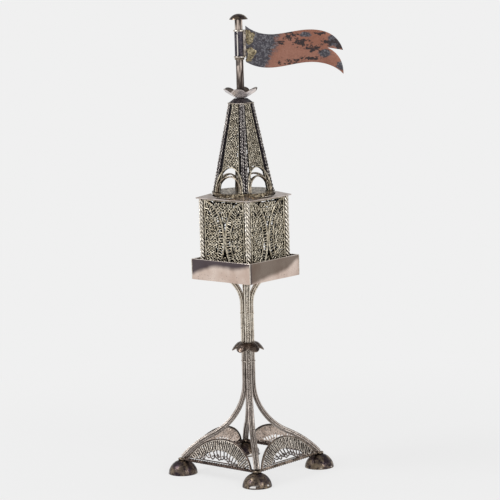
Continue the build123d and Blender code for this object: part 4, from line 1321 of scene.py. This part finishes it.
# Pennant fittings: two wire rings that turn on the mast, a sleeve between them and a stiffening strip along
# the hoist, all soldered together with yellow solder that has run onto the blade.
PENNANT_BEARING = 40.57
RING_HEIGHTS = (213.3, 226.5)
SLEEVE_HIGHLIGHT_PLACE = -0.85
SLEEVE_HIGHLIGHT = (0.88, 0.83, 0.76, 1)
HOIST_TONES = ((0.600, 0.530, 0.460, 1), (0.300, 0.250, 0.205, 1), (0.050, 0.042, 0.045, 1))
RING_TONES = ((0.860, 0.790, 0.700, 1), (0.560, 0.490, 0.420, 1), (0.060, 0.048, 0.044, 1))
SLEEVE_TONES = ((0.110, 0.096, 0.110, 1), (0.042, 0.040, 0.060, 1), (0.018, 0.016, 0.022, 1))
YELLOW_TONES = ((0.460, 0.390, 0.255, 1), (0.270, 0.215, 0.130, 1), (0.050, 0.039, 0.032, 1))
SOLDER_SPOTS = (
    # distance from the mast, height, half length, half height
    (5.2, 222.9, 2.6, 3.2), (5.9, 215.1, 2.3, 3.0), (4.4, 225.6, 1.5, 1.3), (4.6, 211.9, 1.5, 1.3),
)
SPOT_SWELL = 0.3
SPOT_OFF = 0.32

refinish(patinated("fitting_silver", HOIST_TONES, 330.0, 0.30, (0.26, 0.45), 0.3), "pennant_hoist")
ring_silver, tree, shader = silver_metal("ring_silver")
axes = surface_place(tree)[1]
low, high = [
    reckon(tree, "ABSOLUTE", reckon(tree, "SUBTRACT", axes["Z"], level * MM), 0.0) for level in RING_HEIGHTS
]
# Painted shade: each ring goes dark above and below its middle line.
ring_edge_shade = spread(tree, reckon(tree, "MINIMUM", low, high), 0.20 * MM, 0.38 * MM, 0.0, 0.9)
lay_patina(tree, shader, *RING_TONES, 330.0, 0.26, (0.24, 0.42), 0.2, painted_shade=ring_edge_shade)
refinish(ring_silver, "pennant_rings")
sleeve_silver, tree, shader = silver_metal("sleeve_silver")
blue = lay_patina(tree, shader, *SLEEVE_TONES, 300.0, 0.34, (0.22, 0.4), 0.2)
where = add_node(tree, "TexCoord").outputs["Object"]
to_blade = (0, 0, -math.radians(PENNANT_BEARING))
turned = add_node(tree, "Mapping", {"Vector": where, "Rotation": to_blade}).outputs[0]
out = add_node(tree, "SeparateXYZ", {0: turned}).outputs["X"]
# Painted highlight: a broken bright vertical streak down the sleeve.
off = reckon(tree, "ABSOLUTE", reckon(tree, "SUBTRACT", out, SLEEVE_HIGHLIGHT_PLACE * MM), 0.0)
broken = noise(tree, where, 420.0, 2.0)
reflection_streak = spread(tree, off, 0.12 * MM, 0.38 * MM, 1.0, 0.0)
reflection_streak = reckon(tree, "MULTIPLY", reflection_streak, spread(tree, broken, 0.36, 0.5))
tree.links.new(blend_colours(tree, reflection_streak, blue, SLEEVE_HIGHLIGHT), shader.inputs["Base Color"])
refinish(sleeve_silver, "pennant_sleeve")

to_bearing = Matrix.Rotation(math.radians(PENNANT_BEARING), 4, "Z")
spots = []
for k, (out, height, wide, tall) in enumerate(SOLDER_SPOTS):
    for face in (-1, 1):
        bpy.ops.object.select_all(action="DESELECT")
        bpy.ops.mesh.primitive_uv_sphere_add(segments=20, ring_count=12, radius=MM)
        spot = take("solder_spot")
        for vertex in spot.data.vertices:
            turn = math.atan2(vertex.co.z, vertex.co.x)
            swell = 1 + 0.16 * math.sin(3 * turn + k) + 0.1 * math.sin(5 * turn + 2 * k + face)
            vertex.co.x *= swell * wide
            vertex.co.z *= swell * tall
            vertex.co.y *= SPOT_SWELL
        spot.matrix_world = to_bearing @ Matrix.Translation(Vector((out, face * SPOT_OFF, height)) * MM)
        spots.append(settle(spot))
spots = solder_together("pennant_solder", spots)
bpy.ops.object.shade_smooth()
yellow_solder = patinated("yellow_solder", YELLOW_TONES, 380.0, 0.36, (0.36, 0.55), 0.6)
dress(spots, yellow_solder, "pennant", "sheet_silver")


# Blade: a swallow-tailed pennant cut from copper sheet. Dark oxide lies in ragged islands on salmon copper,
# and the third next to the hoist and some patches toward the tails are blue-grey.
BLADE_COPPER = (0.290, 0.124, 0.082, 1)
BLADE_ROSE = (0.345, 0.165, 0.118, 1)
BLADE_OXIDE = (0.040, 0.028, 0.029, 1)
BLADE_SLATE = (0.055, 0.051, 0.062, 1)
BLADE_SCRATCH = (0.185, 0.180, 0.196, 1)
OXIDE_PATCHES = (
    # distance from the mast, height, half length, half height
    (25.9, 222.5, 3.4, 1.7), (20.6, 219.8, 2.2, 1.1), (31.5, 219.6, 3.8, 2.2), (37.6, 216.4, 4.2, 1.7),
    (27.0, 209.9, 7.0, 1.2), (35.5, 211.6, 5.0, 1.0), (41.0, 224.0, 3.2, 0.9), (43.5, 219.5, 2.2, 1.5),
    (22.0, 224.6, 8.0, 0.5), (48.2, 219.8, 3.0, 2.0), (50.6, 217.4, 2.6, 1.8), (51.8, 216.3, 1.6, 1.4),
)
SLATE_PATCHES = (
    (48.6, 220.2, 5.0, 4.2), (43.0, 213.9, 3.8, 2.4), (51.0, 207.4, 2.6, 2.8), (33.5, 223.6, 3.4, 1.6),
)
HOIST_MIDDLE = 218.0
HOIST_SLANT = -0.35
HOIST_EDGE = (16.0, 20.5)
BLADE_SHADE = (0.62, 0.50, 0.45, 1)
BLADE_BEVEL = 0.12

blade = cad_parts["pennant_blade"].copy()
blade.data = blade.data.copy()
blade.parent = None
blade.name = "pennant_sheet"
for key in [key for key in blade.keys() if key.startswith("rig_")]:
    del blade[key]
bpy.context.collection.objects.link(blade)
only(blade)
bpy.ops.object.mode_set(mode="EDIT")
bpy.ops.mesh.select_all(action="SELECT")
bpy.ops.mesh.remove_doubles(threshold=1e-6)
bpy.ops.mesh.dissolve_limited(angle_limit=math.radians(0.5))
bpy.ops.object.mode_set(mode="OBJECT")
ease_edges(blade, BLADE_BEVEL, 60)
bpy.ops.object.shade_smooth_by_angle(angle=math.radians(30))
copper, tree, shader = silver_metal("worn_copper", metallic=0.55)
where = add_node(tree, "TexCoord").outputs["Object"]
turned = add_node(tree, "Mapping", {"Vector": where, "Rotation": to_blade}).outputs[0]
place = add_node(tree, "SeparateXYZ", {0: turned})
shape = add_node(tree, "Mapping", {"Vector": turned, "Scale": (1.0, 0.2, 1.7)}).outputs[0]
island = noise(tree, shape, 430.0, 6.0, 0.66)
cloud = noise(tree, turned, 60.0, 3.0)
grain = noise(tree, turned, 1400.0, 3.0)


def patch_share(tree, patches, ragged, low, high):
    """Share of the blade that lies in a set of patches with torn edges."""
    near = None
    for out, height, half, tall in patches:
        fit = (1 / (half * MM), 0.0, 1 / (tall * MM))
        move = (-out / half, 0.0, -height / tall)
        local = add_node(tree, "Mapping", {"Vector": turned, "Location": move, "Scale": fit}).outputs[0]
        far = add_node(tree, "VectorMath", {0: local}, operation="LENGTH").outputs["Value"]
        near = far if near is None else reckon(tree, "MINIMUM", near, far)
    depth = reckon(tree, "SUBTRACT", 1.0, reckon(tree, "MINIMUM", near, 1.8))
    rough = reckon(tree, "MULTIPLY", reckon(tree, "SUBTRACT", island, 0.5), ragged)
    return spread(tree, reckon(tree, "ADD", depth, rough), low, high)


bare = blend_colours(tree, spread(tree, cloud, 0.35, 0.65), BLADE_COPPER, BLADE_ROSE)
bare = blend_colours(tree, spread(tree, grain, 0.3, 0.75, 0.0, 0.4), bare, BLADE_SHADE, "MULTIPLY")
slate = blend_colours(tree, spread(tree, grain, 0.45, 0.68), BLADE_SLATE, BLADE_SCRATCH)
slate = blend_colours(tree, spread(tree, island, 0.54, 0.66), slate, BLADE_OXIDE)
hoist = reckon(tree, "ADD", place.outputs["X"], spread(tree, cloud, 0.3, 0.7, -0.003, 0.003))
slant = reckon(tree, "SUBTRACT", place.outputs["Z"], HOIST_MIDDLE * MM)
hoist = reckon(tree, "ADD", hoist, reckon(tree, "MULTIPLY", slant, HOIST_SLANT))
hoist = reckon(tree, "ADD", hoist, spread(tree, island, 0.3, 0.7, -0.002, 0.002))
colour = blend_colours(tree, patch_share(tree, SLATE_PATCHES, 1.6, 0.0, 0.35), bare, slate)
near_hoist = spread(tree, hoist, *[edge * MM for edge in HOIST_EDGE], 1.0, 0.0)
colour = blend_colours(tree, near_hoist, colour, slate)
oxide = patch_share(tree, OXIDE_PATCHES, 7.0, 0.16, 0.34)
colour = blend_colours(tree, oxide, colour, BLADE_OXIDE)
feed(tree, shader, colour, spread(tree, oxide, 0.0, 1.0, 0.46, 0.62), island, 0.25, 0.3)
dress(blade, copper, "pennant", "copper", "pennant_blade")


# Studio: a wide pale floor under a soft dome of light, with two large lamps, and the camera where the
# photographer stood, turned a little because the picture was.
FLOOR_COLOUR = (0.871, 0.871, 0.871, 1)
FLOOR_EVEN = (0.06, 0.3)
CAMERA_PLACE = (0.7517, -0.8741, 0.2826)
CAMERA_AIM = (0.00189, 0.00162, 0.11481)
CAMERA_ROLL = -1.64
CAMERA_LENS = 164.4
DOME_LOW = (0.92, 0.92, 0.92, 1)
DOME_HIGH = (0.42, 0.42, 0.42, 1)
LAMPS = (
    # name, place, width, power
    ("key_lamp", (-0.55, -0.75, 0.95), 0.55, 7.0),
    ("side_lamp", (0.95, -0.15, 0.60), 0.45, 3.0),
)
LAMP_AIM = (0, 0, 0.12)

bpy.ops.object.select_all(action="DESELECT")
bpy.ops.mesh.primitive_plane_add(size=40, location=(0, 0, 0))
floor = take("floor")
paper = bpy.data.materials.new("pale_floor")
paper.use_nodes = True
tree = paper.node_tree
paper_shader = tree.nodes["Principled BSDF"]
paper_shader.inputs["Base Color"].default_value = FLOOR_COLOUR
paper_shader.inputs["Roughness"].default_value = 0.9
paper_shader.inputs["Specular IOR Level"].default_value = 0.0
glow = add_node(tree, "Emission", {"Color": FLOOR_COLOUR, "Strength": 1.0}).outputs[0]
spot = add_node(tree, "TexCoord").outputs["Object"]
away = add_node(tree, "VectorMath", {0: spot}, operation="LENGTH").outputs["Value"]
ray = add_node(tree, "LightPath").outputs
seen = reckon(tree, "MAXIMUM", ray["Is Camera Ray"], ray["Is Glossy Ray"])
seen = reckon(tree, "MAXIMUM", seen, ray["Is Transmission Ray"])
share = reckon(tree, "MULTIPLY", seen, spread(tree, away, *FLOOR_EVEN, 0.8, 1.0))
mixed = add_node(tree, "MixShader", {0: share, 1: paper_shader.outputs[0], 2: glow}).outputs[0]
tree.links.new(mixed, tree.nodes["Material Output"].inputs["Surface"])
floor.data.materials.append(paper)
floor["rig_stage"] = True

world = bpy.data.worlds.new("studio_dome")
bpy.context.scene.world = world
world.use_nodes = True
dome = world.node_tree
height = add_node(dome, "SeparateXYZ", {0: add_node(dome, "TexCoord").outputs["Generated"]}).outputs["Z"]
dome_colour = blend_colours(dome, spread(dome, height, 0.0, 0.8), DOME_LOW, DOME_HIGH)
dome.links.new(dome_colour, dome.nodes["Background"].inputs["Color"])

for name, place, size, power in LAMPS:
    lamp = bpy.data.lights.new(name, "AREA")
    lamp.size = size
    lamp.energy = power
    light = bpy.data.objects.new(name, lamp)
    bpy.context.collection.objects.link(light)
    light.location = place
    light.rotation_euler = (Vector(LAMP_AIM) - Vector(place)).to_track_quat("-Z", "Y").to_euler()

lens = bpy.data.cameras.new("camera")
lens.lens = CAMERA_LENS
lens.sensor_width = 36.0
lens.clip_start = 0.01
camera = bpy.data.objects.new("camera", lens)
bpy.context.collection.objects.link(camera)
aim = (Vector(CAMERA_AIM) - Vector(CAMERA_PLACE)).to_track_quat("-Z", "Y").to_matrix().to_4x4()
roll = Matrix.Rotation(math.radians(CAMERA_ROLL), 4, "Z")
camera.matrix_world = Matrix.Translation(CAMERA_PLACE) @ aim @ roll
bpy.context.scene.camera = camera
bpy.context.scene.view_settings.view_transform = "Standard"

low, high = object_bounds()
